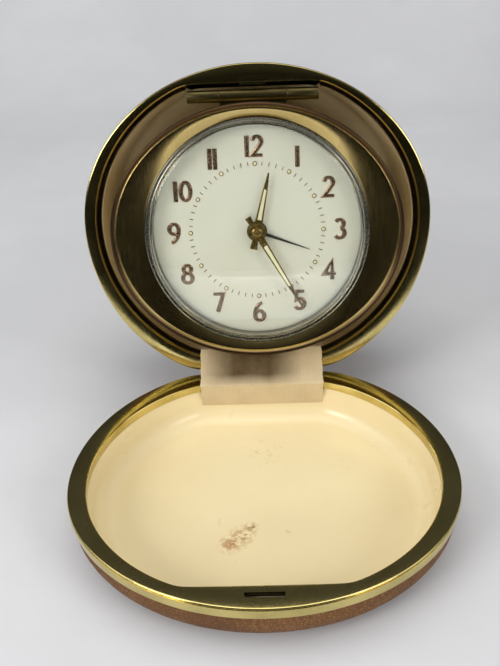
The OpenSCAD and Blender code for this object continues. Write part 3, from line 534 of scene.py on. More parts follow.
def cream(name, stains):
    """Cream enamelled liner: soft mottling, dusty flecks, and stains at the given places."""
    made = Surface(name, (0.82, 0.68, 0.45), roughness=0.32, Coat_Weight=0.25, Coat_Roughness=0.12)
    cloud = made.noise(28, 4, 0.55)
    dust = made.mapped(made.noise(1500, 2), 0.68, 0.78)
    base = made.mix(made.mapped(cloud, 0.35, 0.7), (0.86, 0.735, 0.45), (0.81, 0.67, 0.395))
    base = made.mix(made.math("MULTIPLY", dust, 0.12), base, (0.5, 0.36, 0.2))
    flecks = made.noise(900, 4, 0.7)
    for point, radius, edge, depth, colour in stains:
        spot = made.math("MULTIPLY", made.near(point, radius), made.mapped(flecks, edge, edge + 0.12))
        base = made.mix(made.math("MULTIPLY", spot, depth), base, colour)
    made.link(base, "Base Color")
    made.link(made.mapped(made.noise(140, 5, 0.65), 0.3, 0.75, 0.26, 0.44), "Roughness")
    made.bump(made.math("ADD", made.noise(45, 3), made.math("MULTIPLY", made.noise(1600, 2), 0.05)), 0.09)
    return made.material


STAIN_SHADE_X, STAIN_SHADE_HALF = -2.5, 13  # middle and half width of the strap's stain and painted shade
STAIN_SHADE_RISE = (-0.1, 1.5)  # heights over the hinge axis where the stain and painted shade under the clock start and are full
# colour of the strap's stain and painted shade
STRAP_STAIN_AND_SHADE = (0.08, 0.043, 0.009)


def woven(name):
    """Cream cloth strap: fine upright ribs with cross threads, and a dark patch across its middle that is
    partly stain and partly painted shade under the clock.
    """
    made = Surface(name, (0.74, 0.6, 0.41), roughness=0.82, Sheen_Weight=0.1, Sheen_Roughness=0.5)
    ribs = made.nodes.new("ShaderNodeTexWave")
    ribs.bands_direction = "X"
    ribs.inputs["Scale"].default_value = 700
    ribs.inputs["Distortion"].default_value = 1.2
    ribs.inputs["Detail"].default_value = 2
    ribs.inputs["Detail Scale"].default_value = 0.4
    made.links.new(made.place, ribs.inputs["Vector"])
    threads = made.noise(1, 2, 0.5, made.stretched((400, 5200, 5200)))
    soil = made.mapped(made.noise(130, 5, 0.65), 0.42, 0.68)
    base = made.mix(made.math("MULTIPLY", soil, 0.3), (0.66, 0.53, 0.32), (0.45, 0.32, 0.17))
    base = made.mix(made.mapped(ribs.outputs["Fac"], 0, 0.5, 0.22, 0), base, (0.42, 0.3, 0.18))
    # painted shade under the clock mixed with a stain: darker higher up towards the clock and near the
    # middle
    shade_height = made.mapped(made.along((0, 0, 1), HINGE), *STAIN_SHADE_RISE)
    stain_shade_blotches = made.mapped(made.noise(160, 5, 0.7), 0.3, 0.7, 0.84, 1.0)
    aside = made.along(RIGHT, (STAIN_SHADE_X, 0, 0), STAIN_SHADE_HALF)
    middle = made.mapped(made.math("MULTIPLY", aside, aside), 0.12, 1.0, 1.0, 0.06)
    stain_and_shade = made.math("MULTIPLY", made.math("MULTIPLY", shade_height, stain_shade_blotches), middle)
    base = made.mix(stain_and_shade, base, STRAP_STAIN_AND_SHADE)
    made.link(base, "Base Color")
    made.bump(made.math("ADD", ribs.outputs["Fac"], made.math("MULTIPLY", threads, 0.5)), 0.05)
    return made.material


def painted(name, light, dark, roughness, grain=0.012, scale=1400, metallic=0.0):
    """Paint or lacquer with faint clouds and a fine orange-peel surface."""
    made = Surface(name, light, metallic=metallic)
    cloud = made.noise(70, 5, 0.6)
    made.link(made.mix(made.mapped(cloud, 0.35, 0.72), light, dark), "Base Color")
    made.link(made.mapped(made.noise(260, 4), 0.3, 0.75, roughness * 0.85, roughness * 1.2), "Roughness")
    made.bump(made.noise(scale, 3), grain)
    return made.material


def glass(name):
    """Clear acrylic that lets lamps straight through, with faint scuffs."""
    made = Surface(name, (0.97, 0.985, 0.97), roughness=0.03, Transmission_Weight=1.0, IOR=1.49)
    made.link(made.mapped(made.noise(600, 4, 0.7), 0.62, 0.85, 0.0, 0.05), "Roughness")
    clear = made.nodes.new("ShaderNodeBsdfTransparent")
    clear.inputs["Color"].default_value = (0.96, 0.98, 0.95, 1)
    rays = made.nodes.new("ShaderNodeLightPath")
    either = made.math("MAXIMUM", rays.outputs["Is Shadow Ray"], rays.outputs["Is Diffuse Ray"])
    chosen = made.nodes.new("ShaderNodeMixShader")
    made.links.new(either, chosen.inputs["Fac"])
    made.links.new(made.shader.outputs["BSDF"], chosen.inputs[1])
    made.links.new(clear.outputs["BSDF"], chosen.inputs[2])
    made.links.new(chosen.outputs["Shader"], made.nodes["Material Output"].inputs["Surface"])
    return made.material


RUST = (0.4, 0.16, 0.035)
# Stains on the lid's floor: centre, radius, fleck threshold, depth of colour, colour
STAINS = [
    ((-5.0, -10.0, 1.8), 3.6, 0.46, 1.0, RUST),
    ((-7.5, -12.5, 1.8), 3.2, 0.44, 1.0, RUST),
    ((-2.8, -7.5, 1.8), 2.0, 0.44, 1.0, (0.3, 0.13, 0.03)),
    ((5.5, -9.0, 1.8), 1.2, 0.5, 0.8, RUST),
    ((0.0, 17.5, 1.8), 7.0, 0.56, 0.6, (0.45, 0.32, 0.17)),
]
RIM_TONES = (0.72, 0.6, 0.24), (0.46, 0.37, 0.13)
HINGE_TONES = (0.12, 0.096, 0.038), (0.06, 0.046, 0.018)
MATERIALS = {
    "rim_brass": brass("rim_brass", *RIM_TONES, 0.1),
    # rim brass with painted shade on the sunken ledge, for the rear rim
    "ledge_shaded_rim_brass": brass("ledge_shaded_rim_brass", *RIM_TONES, 0.1, ledge=True),
    "hinge_brass": brass("hinge_brass", *HINGE_TONES, 0.34, (300, 4200, 4200)),
    "shell_steel": painted("shell_steel", (0.028, 0.026, 0.024), (0.05, 0.045, 0.04), 0.6),
    "leather": leather("leather"),
    "liner": cream("liner", STAINS),
    "steel": brass("steel", (0.62, 0.62, 0.62), (0.4, 0.39, 0.37), 0.25),
    "strap": woven("strap"),
    "bezel_brass": bezel_metal("bezel_brass"),
    "crystal": glass("crystal"),
    "ring_metal": brass("ring_metal", (0.34, 0.33, 0.27), (0.2, 0.19, 0.15), 0.2),
    "dark_ring": painted("dark_ring", (0.06, 0.058, 0.04), (0.03, 0.03, 0.022), 0.35),
    "dial": painted("dial", (0.74, 0.72, 0.64), (0.7, 0.68, 0.59), 0.42, 0.006, 2600, metallic=0.15),
    "gilt": brass("gilt", (0.42, 0.28, 0.19), (0.2, 0.13, 0.08), 0.22),
    "can_brass": brass("can_brass", (0.76, 0.6, 0.28), (0.48, 0.35, 0.14), 0.3, (400, 3000, 3000)),
    "movement_brass": brass("movement_brass", (0.8, 0.64, 0.3), (0.6, 0.45, 0.18), 0.28),
    "hand_gilt": brass("hand_gilt", (0.36, 0.26, 0.09), (0.2, 0.13, 0.04), 0.24),
    "lume": painted("lume", (0.82, 0.77, 0.52), (0.7, 0.62, 0.38), 0.9, 0.05, 3200),
    "alarm_black": painted("alarm_black", (0.02, 0.02, 0.02), (0.035, 0.03, 0.028), 0.35),
    "knob_brass": brass("knob_brass", (0.78, 0.62, 0.3), (0.5, 0.36, 0.14), 0.25),
}

for part in frame["record"]["subparts"]:
    slots = frame["nodes"][part["node"]].data.materials
    slots.clear()
    slots.append(MATERIALS[part["material_slot"]])

# The catch is blackened like the shells.
frame["nodes"]["latch_catch"].data.materials[0] = MATERIALS["shell_steel"]

# ------------------------------------------------------------------ case halves

BAND_H = 2.7
FACE = -0.05
HINGE_GAP = 15.4  # half width of the gap in each rim for the case hinge


def rim(name, place, body, step, replaces):
    """Brass rim: rolled band with a bead, flat face, and an inner wall below a ledge step wide."""
    underside = -1.5 if step else -0.7
    band = [
        (0.6, -2.5), (0.5, -2.69), (0.2, -2.7), (0.07, -2.62), (0.04, -2.45), (0.02, -1.3),
        (0.0, -0.66), (0.06, -0.56), (0.22, -0.53), (0.24, -0.46), (0.12, -0.4), (0.09, -0.28),
        (0.14, -0.16), (0.24, -0.08), (0.42, FACE),
    ]
    lip = [(-0.3 - step, FACE), (-0.12 - step, -0.08), (-0.02 - step, -0.18)]
    ledge = [(-step, -0.3), (-step, -0.72), (0.14 - step, -0.84), (-0.22, -0.86), (-0.06, -0.91)]
    wall = [(0.0, -1.05), (0.0, -2.0), (-0.06, -2.17), (-0.3, -2.2), (-0.55, -2.1)]
    inside = lip + (ledge if step else []) + wall + [(-0.6 - step, underside)]
    rings = [lifted(outer(inset), off) for inset, off in band]
    rings += [lifted(inner(inset), off) for inset, off in inside]
    points, faces = skin(rings + [lifted(outer(0.6), underside)], closed=True)
    obj = finish_mesh(name, place(points), faces, body, "rim_brass", replaces)
    cut(obj, *placed_box((-HINGE_GAP, -1, -4), (HINGE_GAP, 1.5, 1), place))
    # the rear rim's sunken ledge gets painted shade
    if step:
        obj.data.materials[0] = MATERIALS["ledge_shaded_rim_brass"]
    return obj


def placed_box(low, high, place):
    points, faces = box_solid(low, high)
    return place(points), faces


def corner(inset, radius, floor, steps=14):
    """(inset, off) from the floor up round a corner to its wall."""
    a = np.linspace(0, math.pi / 2, steps)
    return [(inset + radius * (1 - math.sin(t)), floor + radius * (1 - math.cos(t))) for t in a]


def floor_rings(ring, inset, off, dish, steps=9):
    """Rings from inset to near the middle, sunk by dish there, for a floor that isn't dead flat."""
    shares = np.linspace(1, 0.02, steps)
    edge = ring(inset)
    centre = np.array([0.0, (edge[:, 1].min() + edge[:, 1].max()) / 2])
    return [lifted(centre + (edge - centre) * s, off - dish * (1 - s * s)) for s in shares[1:]]


def cover(name, place, body, depth, radius, replaces):
    """Leather skin over a half: tucked under the band, rounded down to a flat back."""
    hide, tuck = 0.6, -BAND_H - 0.08
    rings = floor_rings(outer, 0.5 + radius, -depth, 0)[::-1]
    wall = corner(0.5, radius, -depth)
    wall += [(0.5, tuck - 0.5), (0.52, tuck - 0.16), (0.6, tuck), (0.5 + hide, tuck)]
    wall += corner(0.5 + hide, radius - hide, hide - depth)[::-1]
    rings += [lifted(outer(inset), off) for inset, off in wall]
    rings += floor_rings(outer, 0.5 + radius, hide - depth, 0)
    points, faces = skin(rings)
    return finish_mesh(name, place(points), faces, body, "leather", replaces)


def liner_tray(name, place, body, floor, radius, inset, replaces):
    """Cream tray under a rim: the wall draws in a little to a rounded corner and a shallow floor."""
    sheet, top = 0.45, -2.26
    outside = corner(inset - sheet, radius + sheet, floor - sheet)
    inside = corner(inset, radius, floor)[::-1]
    rings = floor_rings(liner, inset + radius, floor - sheet, 0)[::-1]
    rings += [lifted(liner(d), off) for d, off in outside + [(0.1 - sheet, top)]]
    rings += [lifted(liner(0.1 - share * sheet), top + 0.04) for share in (0.8, 0.2)]
    rings += [lifted(liner(d), off) for d, off in [(0.1, top)] + inside]
    rings += floor_rings(liner, inset + radius, floor, 0.12)
    points, faces = skin(rings)
    return finish_mesh(name, place(points), faces, body, "liner", replaces)


lid_rim = rim("lid_rim_brass", lid, "lid", 0, ["lid_rim"])
LATCH_V = CASE_H - 3.4
SLOT_X, SLOT_V = 3.8, 0.62  # half sizes of the slot that takes the latch tongue
cut(lid_rim, *placed_box((-SLOT_X, LATCH_V - SLOT_V, -3), (SLOT_X, LATCH_V + SLOT_V, 1), lid))
# A dark strip behind the slot: painted shade, so that the slot reads as deep.
SLOT_SHADE_X = SLOT_X + 0.8
slot_shade_strip, faces = placed_box((-SLOT_SHADE_X, LATCH_V - 1.75, -2.2), (SLOT_SHADE_X, LATCH_V - 1.45, -0.72), lid)
finish_mesh("latch_slot_shade", slot_shade_strip, faces, "lid", "shell_steel")
cover("lid_leather", lid, "lid", LID_D, 7.5, ["lid_cover"])
LID_FLOOR = -10.2
liner_tray("lid_lining", lid, "lid", LID_FLOOR, 4.6, 0.8, ["lid_liner"])

LEDGE_W = 1.25
case_rim = rim("case_rim_brass", rear, "case", LEDGE_W, ["case_rim"])
cover("case_leather", rear, "case", REAR_D, 3.2, ["case_cover"])
case_lining = liner_tray("case_lining", rear, "case", 2.6 - REAR_D, 5, 0.6, ["case_liner"])
NOTCH = HINGE_HALF + 0.3  # half width of the gap at the top for the clock's hinge
cut(case_rim, *placed_box((-NOTCH, INNER_HI - 0.5, -3), (NOTCH, INNER_HI + 1.2, -0.4), rear))
cut(case_lining, *placed_box((-NOTCH, INNER_HI - 1.5, -20), (NOTCH, INNER_HI + 2, 0), rear))

# ------------------------------------------------------------------ hinge strap

STRAP_T = 0.4
STRAP_V = INNER_LO + 0.85
LID_TUCK, REAR_TUCK = 6.2, 2.5  # how far the ends run down inside the halves


def strap_line(count=56):
    """Points (y, z) from the hinge axis, evenly spaced along the strap from the lid to the rear half."""
    lean_up, lean_out = UP[1:], OUT[1:]
    start, bow = np.array([-STRAP_V, 0.2]), np.array([-1.7, 1.6])
    end = STRAP_V * lean_up + 0.2 * lean_out
    t = np.linspace(0, 1, 40)[:, None]
    curve = (1 - t) ** 2 * start + 2 * t * (1 - t) * bow + t * t * end
    tail = [0.5 - STRAP_V, -LID_TUCK], [0.15 - STRAP_V, -3.2]
    line = np.vstack([*tail, curve, STRAP_V * lean_up - REAR_TUCK * lean_out])
    length = np.concatenate([[0], np.cumsum(np.linalg.norm(np.diff(line, axis=0), axis=1))])
    even = np.linspace(0, length[-1], count)
    return np.stack([np.interp(even, length, line[:, k]) for k in (0, 1)], 1), length[-1]


def hinge_strap():
    """Thin strap with a crease at each rim, a slack wrinkle across its middle and uneven sides."""
    line, length = strap_line()
    count, across = len(line), 65
    step = np.gradient(line, axis=0)
    normal = np.stack([-step[:, 1], step[:, 0]], 1) / np.linalg.norm(step, axis=1)[:, None]
    along, x = np.linspace(0, 1, count)[:, None], np.linspace(-1, 1, across)[None, :]
    middle = np.sin(np.pi * along) ** 4
    wrinkle = 0.16 * np.exp(-(((x - 0.05) + 0.5 * (along - 0.5)) / 0.09) ** 2)
    wrinkle = wrinkle - 0.13 * np.exp(-(((x + 0.12) + 0.4 * (along - 0.5)) / 0.12) ** 2)
    wrinkle = wrinkle + 0.08 * np.sin(9 * x + 2 * along) + 0.05 * np.sin(23 * x - 3 * along)
    lift = middle * (wrinkle - 0.1)
    ragged = 0.07 * np.sin(31 * along) + 0.04 * np.sin(83 * along + 1)
    side = STRAP_HALF * x - np.abs(x) ** 40 * (0.15 + ragged) * np.sign(x)
    layers = []
    for face in (-0.5, 0.5):
        away = lift + face * STRAP_T
        y, z = (line[:, k][:, None] + away * normal[:, k][:, None] for k in (0, 1))
        layers.append(np.stack([side + 0 * along, HINGE[1] + y, HINGE[2] + z], 2).reshape(-1, 3))
    faces, back = [], count * across
    for quad in grid_quads(count, across):
        faces += [quad, tuple(back + k for k in quad[::-1])]
    edge = list(range(across)) + [i * across + across - 1 for i in range(1, count)]
    edge += [(count - 1) * across + j for j in range(across - 2, -1, -1)]
    edge += [i * across for i in range(count - 2, 0, -1)]
    faces += [(a, back + a, back + b, b) for a, b in zip(edge, edge[1:] + edge[:1])]
    strap = finish_mesh("hinge_strap_cloth", np.concatenate(layers), faces, None, "strap", ["hinge_strap"])
    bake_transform(strap)


hinge_strap()

# ------------------------------------------------------------------ clock face

HOLE_R = RING_R + 0.05
SEAT_OFF = 3.52  # front of the flange under the crystal and its ring
NUMERAL_R = 20.5
MARKER_R = 16.4


def bezel():
    """Oval bezel: thick rolled edge, fine groove, and a hollow dish down to the round crystal."""
    profile = [
        (-0.9, -1.9), (-0.45, -1.95), (-0.12, -1.7), (0.0, -1.3), (0.0, -0.75), (-0.08, -0.4),
        (-0.24, -0.14), (-0.5, -0.01), (-0.75, -0.05), (-0.96, -0.22), (-1.1, -0.42), (-1.2, -0.5),
        (-1.32, -0.48),
    ]
    rings = [lifted(ellipse(BEZEL_X + d, BEZEL_V + d), BEZEL_OFF + off) for d, off in profile]
    outside, hole = ellipse(BEZEL_X - 1.5, BEZEL_V - 1.5), ellipse(HOLE_R + 0.15, HOLE_R + 0.15)
    for share in np.linspace(0, 1, 14):
        drop = 0.42 + 0.3 * share + 0.45 * share**2
        rings.append(lifted(outside + (hole - outside) * share, BEZEL_OFF - drop))
    lip = ((0.03, 1.22), (0, 1.35), (0, 1.9), (0.5, 1.95))
    rings += [lifted(ellipse(HOLE_R + d, HOLE_R + d), BEZEL_OFF - drop) for d, drop in lip]
    points, faces = skin(rings, closed=True)
    finish_mesh("bezel_dish", clock(points), faces, "clock", "bezel_brass", ["bezel"])


def crystal():
    """Domed crystal whose shoulder rolls over into a short upright wall on a seat flange."""
    roll, rise, thick, wall = 1.0, 1.7, 0.9, 0.55
    foot, inner_foot = 5.3, 5.1  # where the wall starts to roll over
    shoulder = CRYSTAL_R - roll
    bend = (shoulder**2 + rise**2) / (2 * rise)
    spring = CRYSTAL_TOP - rise

    def crown(radius):
        return math.sqrt(bend**2 - radius**2) - bend + rise

    def rolled(reach_out, start, top, turns):
        return [(shoulder + reach_out * math.cos(a), start + (top - start) * math.sin(a)) for a in turns]

    turns, brow = np.linspace(0, math.pi / 2, 9), spring + crown(shoulder)
    radii = np.linspace(0.02, shoulder * 0.97, 22)
    outside = [(CRYSTAL_R, SEAT_OFF)] + rolled(roll, foot, brow, turns)
    outside += [(radius, spring + crown(radius)) for radius in radii[::-1]]
    inside = [(radius, spring - thick + crown(radius)) for radius in radii]
    inside += rolled(roll - wall, inner_foot, brow - thick, turns[::-1])
    inside += [(CRYSTAL_R - wall, 4.4), (CRYSTAL_R - wall, SEAT_OFF)]
    points, faces = lathe(outside + inside)
    finish_mesh("crystal_dome", clock(points), faces, "clock", "crystal", ["crystal"], sharp=50)


def rings_round_the_dial():
    """Metal ring that holds the crystal, and the dark ring under it round the dial."""
    seat = [
        (CRYSTAL_R + 0.05, SEAT_OFF), (RING_R, SEAT_OFF), (RING_R, 5.02), (RING_R - 0.06, 5.15),
        (RING_R - 0.16, 5.2), (RING_R - 0.26, 5.14), (RING_R - 0.36, 4.96), (RING_R - 0.72, 4.9),
        (RING_R - 0.82, 4.98), (RING_R - 0.95, 5.0), (CRYSTAL_R + 0.08, 4.9), (CRYSTAL_R + 0.05, 4.75),
    ]
    points, faces = lathe(seat)
    finish_mesh("crystal_seat", clock(points), faces, "clock", "ring_metal", ["crystal_ring"])
    low = DIAL_OFF + 0.03
    dark = [
        (CRYSTAL_R - 0.5, low + 0.1), (CRYSTAL_R - 0.42, low), (CRYSTAL_R + 0.6, low),
        (CRYSTAL_R + 0.6, 3.45), (CRYSTAL_R - 0.42, 3.45), (CRYSTAL_R - 0.5, 3.36),
    ]
    points, faces = lathe(dark)
    finish_mesh("dial_surround", clock(points), faces, "clock", "dark_ring", ["dial_ring"])


def dial_height(radius):
    """Front of the dial: flat in the middle, rolling back towards its edge."""
    flat_r = 15.5
    return DIAL_OFF - 0.32 * max(0.0, (radius - flat_r) / (DIAL_R - flat_r)) ** 2


def dial():
    bore, under = 1.9, DIAL_OFF - 0.5
    profile = [(bore, DIAL_OFF - 0.08), (1.96, DIAL_OFF)]
    profile += [(r, dial_height(r)) for r in np.linspace(2.3, DIAL_R - 0.1, 40)]
    profile += [(DIAL_R, dial_height(DIAL_R) - 0.08), (DIAL_R, under), (bore, under)]
    points, faces = lathe(profile)
    finish_mesh("dial_plate", clock(points), faces, "clock", "dial", ["dial"])


STROKE_MID = 0.3
# Each numeral's pen strokes, one digit height tall, about x = STROKE_MID
STROKES = {
    0: [arc(0.3, 0.5, 0.24, 0.44, 90, 450, 40)],
    1: [[(0.3, 0.0), (0.3, 1.0)]],
    2: [np.vstack([arc(0.29, 0.72, 0.22, 0.23, 170, -30, 22), [(0.3, 0.36), (0.06, 0.06), (0.56, 0.06)]])],
    3: [arc(0.27, 0.73, 0.2, 0.21, 150, -80, 22), arc(0.27, 0.27, 0.24, 0.25, 80, -150, 26)],
    4: [[(0.44, 0.0), (0.44, 0.97), (0.03, 0.29), (0.62, 0.29)]],
    5: [np.vstack([[(0.53, 0.94), (0.15, 0.94), (0.11, 0.5)], arc(0.28, 0.3, 0.25, 0.27, 115, -150, 26)])],
    6: [arc(0.3, 0.28, 0.23, 0.25, 90, 450, 30), arc(0.5, 0.3, 0.43, 0.66, 97, 178, 14)],
    7: [[(0.04, 0.93), (0.55, 0.93), (0.24, 0.0)]],
    8: [arc(0.3, 0.74, 0.19, 0.2, 90, 450, 28), arc(0.3, 0.28, 0.24, 0.25, 90, 450, 30)],
    9: [arc(0.3, 0.72, 0.23, 0.25, 90, 450, 30), arc(0.1, 0.7, 0.43, 0.66, -83, -2, 14)],
}


def numerals():
    """Raised gilt numerals, upright, with bevelled shoulders."""
    height, pen = 4.95, 1.15
    parts = []
    for hour in range(1, 13):
        digits = [hour] if hour < 10 else [1, hour - 10]
        widths = [0.26 if d == 1 else 0.74 for d in digits]
        turn = math.radians(30 * hour)
        x = NUMERAL_R * math.sin(turn) - height * sum(widths) / 2
        y = NUMERAL_R * math.cos(turn) - height / 2
        for digit, width in zip(digits, widths):
            shift = [x + height * (width / 2 - STROKE_MID), y]
            for stroke in STROKES[digit]:
                parts.append(sweep(np.asarray(stroke) * height + shift, pen, 0.55, DIAL_OFF - 0.3))
            x += width * height
    points, faces = merged(parts)
    finish_mesh("numerals_gilt", clock(points), faces, "clock", "gilt", ["dial_numerals"], sharp=50)


def markers():
    """Gilt cups with a luminous bead at the hours, and fine ticks at the other minutes."""
    low, gilt, beads = dial_height(MARKER_R) - 0.1, [], []
    for minute in range(60):
        a = math.radians(6 * minute)
        radial, side = np.array([math.sin(a), math.cos(a)]), np.array([math.cos(a), -math.sin(a)])
        at = MARKER_R * radial
        if minute % 5 == 0:
            cup = [(0.56, 0), (0.56, 0.24), (0.5, 0.32), (0.4, 0.34), (0.36, 0.28)]
            bead = [(0.37, 0.25), (0.36, 0.34), (0.24, 0.42), (0.08, 0.45)]
            for profile, parts in ((cup, gilt), (bead, beads)):
                parts.append(skin([lifted(at + circle(r, 24), low + off) for r, off in profile]))
        else:
            rings = []
            for half, wide, off in ((0.5, 0.1, low), (0.5, 0.1, low + 0.15), (0.46, 0.06, low + 0.19)):
                ends = ((-half, -wide), (half, -wide), (half, wide), (-half, wide))
                rings.append(lifted(np.array([at + radial * u + side * w for u, w in ends]), off))
            gilt.append(skin(rings))
    points, faces = merged(gilt)
    finish_mesh("markers_gilt", clock(points), faces, "clock", "gilt", ["dial_markers"], sharp=50)
    points, faces = merged(beads)
    finish_mesh("marker_beads", clock(points), faces, "clock", "lume", sharp=50)


bezel()
crystal()
rings_round_the_dial()
dial()
numerals()
markers()

# ------------------------------------------------------------------ hands


def shown_angle(node):
    """Clockwise angle from twelve that a packed hand points at, and its length."""
    points = np.array([v.co for v in frame["nodes"][node].data.vertices]) / MM - HUB
    x, v = points @ RIGHT, points @ UP
    tip = np.argmax(x**2 + v**2)
    return math.degrees(math.atan2(x[tip], v[tip])), math.hypot(x[tip], v[tip])


def hand(name, node, body, wide, tail, tail_wide, window, hub, bore, low, high):
    """Tapered gilt hand with a slot for its luminous strip and a pressed boss round its pipe."""
    angle, length = shown_angle(node)
    start, end = window
    half = [(wide / 2, 2.0), (wide * 0.3, end), (0.2, length - 0.2), (0.1, length)]
    butt = [(0.5, 0), (tail_wide * 0.4, 1.4 - tail)]
    butt += [(tail_wide / 2, 0.15 - tail), (tail_wide / 2 - 0.1, -tail)]
    blade = [(-x, y) for x, y in half] + half[::-1] + butt + [(-x, y) for x, y in butt[::-1]]
    slot = [(-wide * 0.27, start), (-wide * 0.16, end), (wide * 0.16, end), (wide * 0.27, start)]
    boss = [
        (bore, low + 0.01), (hub - 0.06, low + 0.01), (hub, low + 0.07), (hub, high - 0.02),
        (hub - 0.06, high + 0.03), (bore + 0.5, high + 0.06), (bore, high + 0.02),
    ]
    flat = plate([turned(blade, angle), turned(slot, angle)], low, high, 0.05)
    points, faces = merged([flat, lathe(boss, sides=72)])
    finish_mesh(name, clock(points), faces, body, "hand_gilt", [node])
    strip = [(x * 0.95, y) for x, y in slot]
    points, faces = plate([turned(strip, angle)], low + 0.04, high + 0.02, 0.06)
    finish_mesh(name + "_strip", clock(points), faces, body, "lume", [node + "_lume"])


def alarm_hand():
    """Black needle on a flat collar."""
    angle, length = shown_angle("alarm_hand")
    low, high = reach("alarm_hand", OUT, HUB)
    needle = turned([(-0.42, 1.8), (-0.07, length), (0.07, length), (0.42, 1.8)], angle)
    collar = [(1.75, low), (2.44, low), (2.5, low + 0.06), (2.5, high - 0.06), (2.44, high), (1.75, high)]
    points, faces = merged([plate([needle], low, high, 0.03), lathe(collar, sides=72)])
    finish_mesh("alarm_needle", clock(points), faces, "alarm", "alarm_black", ["alarm_hand"])


def hand_nut():
    """Cap that holds the hands on."""
    low, high = reach("hand_nut", OUT, HUB)
    profile = [
        (0.03, low), (1.14, low), (1.2, low + 0.06), (1.2, low + 0.2), (1.1, low + 0.28), (0.5, low + 0.32),
        (0.44, low + 0.4), (0.44, high - 0.12), (0.32, high - 0.02), (0.03, high),
    ]
    points, faces = lathe(profile, sides=72)
    finish_mesh("hand_cap", clock(points), faces, "minute", "hand_gilt", ["hand_nut"])


hand("hour_hand_gilt", "hour_hand", "hour", 1.9, 4.4, 1.9, (3.0, 10.5), 2.3, 1.3, 2.3, 2.6)
hand("minute_hand_gilt", "minute_hand", "minute", 1.75, 4.3, 1.6, (3.9, 15.6), 2.1, 0.9, 3.3, 3.6)
alarm_hand()
hand_nut()

# ------------------------------------------------------------------ clock hinge


def barrel(start, end, radius):
    """Rolled knuckle along x with softened ends and the open seam of a rolled leaf."""
    sides, bore = 48, 0.72
    t = 2 * math.pi * np.arange(sides) / sides
    seam = 1 - 0.09 * np.exp(-(((t - 4.1) / 0.09) ** 2))
    left = [(0.12, radius - 0.16), (0, radius - 0.04), (0.1, radius)]
    hoops = [(end, bore), (start, bore)] + [(start + dx, r * seam) for dx, r in left]
    hoops += [(end - dx, r * seam) for dx, r in left[::-1]]
    return skin([
        np.stack([np.full(sides, x), HINGE_V + r * np.cos(t), HINGE_OFF + r * np.sin(t)], 1)
        for x, r in hoops
    ], closed=True)


def clock_hinge():
    """The case's leaf of the clock hinge: two knuckles, a tab behind each, and one long plate."""
    radius = 1.45
    back = HINGE_V + radius
    front = back - 0.45
    knuckle, edge = SWING_HALF + 0.1, HINGE_HALF - 0.5
    fixed = [barrel(-HINGE_HALF, -knuckle, radius), barrel(knuckle, HINGE_HALF, radius)]
    fixed.append(box_solid((-edge, front, -9), (edge, back, -2.8)))
    fixed.append(box_solid((-edge, front, -2.85), (-knuckle, back, -1)))
    fixed.append(box_solid((knuckle, front, -2.85), (edge, back, -1)))
    points, faces = merged(fixed)
    finish_mesh("clock_hinge_case_leaf", rear(points), faces, "case", "hinge_brass", ["clock_hinge_leaf"])


clock_hinge()

# ------------------------------------------------------------------ softened edges on carried-over parts

SOFTENED = {
    "back_cover": 0.12, "clock_can": 0.08, "time_key": 0.12, "alarm_key": 0.12, "set_knob": 0.06,
    "alarm_set_knob": 0.06, "alarm_stop_button": 0.1, "case_hinge_leaf": 0.08, "lid_hinge_leaf": 0.08,
    "clock_swing_leaf": 0.08, "latch_tongue": 0.08, "latch_catch": 0.06,
}
for node, width in SOFTENED.items():
    bevel = frame["nodes"][node].modifiers.new("soft_edges", "BEVEL")
    bevel.width = width * MM
    bevel.segments = 2
    bevel.limit_method = "ANGLE"
    bevel.angle_limit = math.radians(40)

# ------------------------------------------------------------------ camera, floor and light


def camera():
    """Camera above the lid's front, looking down at the clock."""
    data = bpy.data.cameras.new("camera")
    data.sensor_width, data.lens = 36.0, 43.74
    data.clip_start, data.clip_end = 0.01, 10
    obj = added("camera", data)
    pitch, yaw, roll = (math.radians(a) for a in (31.52, -1.57, -2.52))
    look = Vector((math.sin(yaw) * math.cos(pitch), math.cos(yaw) * math.cos(pitch), -math.sin(pitch)))
    level = Vector((math.cos(yaw), -math.sin(yaw), 0))
    head = level.cross(look)
    right = math.cos(roll) * level + math.sin(roll) * head
    above = right.cross(look)
    basis = Matrix((right, above, -look)).transposed().to_4x4()
    basis.translation = Vector(HINGE * MM) + Vector((2.19, -175.31, 119.27)) * MM
    obj.matrix_world = basis
    bpy.context.scene.camera = obj


def floor():
    """Pale seamless floor that curves up behind the object."""
    bend_y, bend_r = 0.3, 0.16
    turns = np.radians(np.linspace(8, 75, 12))
    section = [(y, 0.0) for y in (-1.1, -0.6, -0.2, 0.1, bend_y)]
    section += [(bend_y + bend_r * math.sin(a), bend_r * (1 - math.cos(a))) for a in turns]
    xs = np.linspace(-0.9, 0.9, 19)
    mesh = bpy.data.meshes.new("floor")
    mesh.from_pydata([(x, y, z) for y, z in section for x in xs], [], grid_quads(len(section), len(xs)))
    mesh.shade_smooth()
    obj = added("floor", mesh)
    made = Surface("floor", (0.7, 0.71, 0.74), roughness=0.85)
    cloud = made.mapped(made.noise(9, 4, 0.6), 0.35, 0.7)
    made.link(made.mix(cloud, (0.72, 0.73, 0.755), (0.64, 0.65, 0.68)), "Base Color")
    grit = made.math("MULTIPLY", made.noise(1300, 2), 0.02)
    made.bump(made.math("ADD", made.noise(12, 4, 0.6), grit), 1.0)
    mesh.materials.append(made.material)


def lamp(name, place, aim, size, power, colour):
    """Rectangular lamp, in metres and watts."""
    data = bpy.data.lights.new(name, "AREA")
    data.shape = "RECTANGLE"
    data.size, data.size_y = size
    data.energy = power
    data.color = colour
    obj = added(name, data)
    obj.location = place
    obj.rotation_mode = "QUATERNION"
    obj.rotation_quaternion = (Vector(aim) - Vector(place)).to_track_quat("-Z", "Y")
    return obj


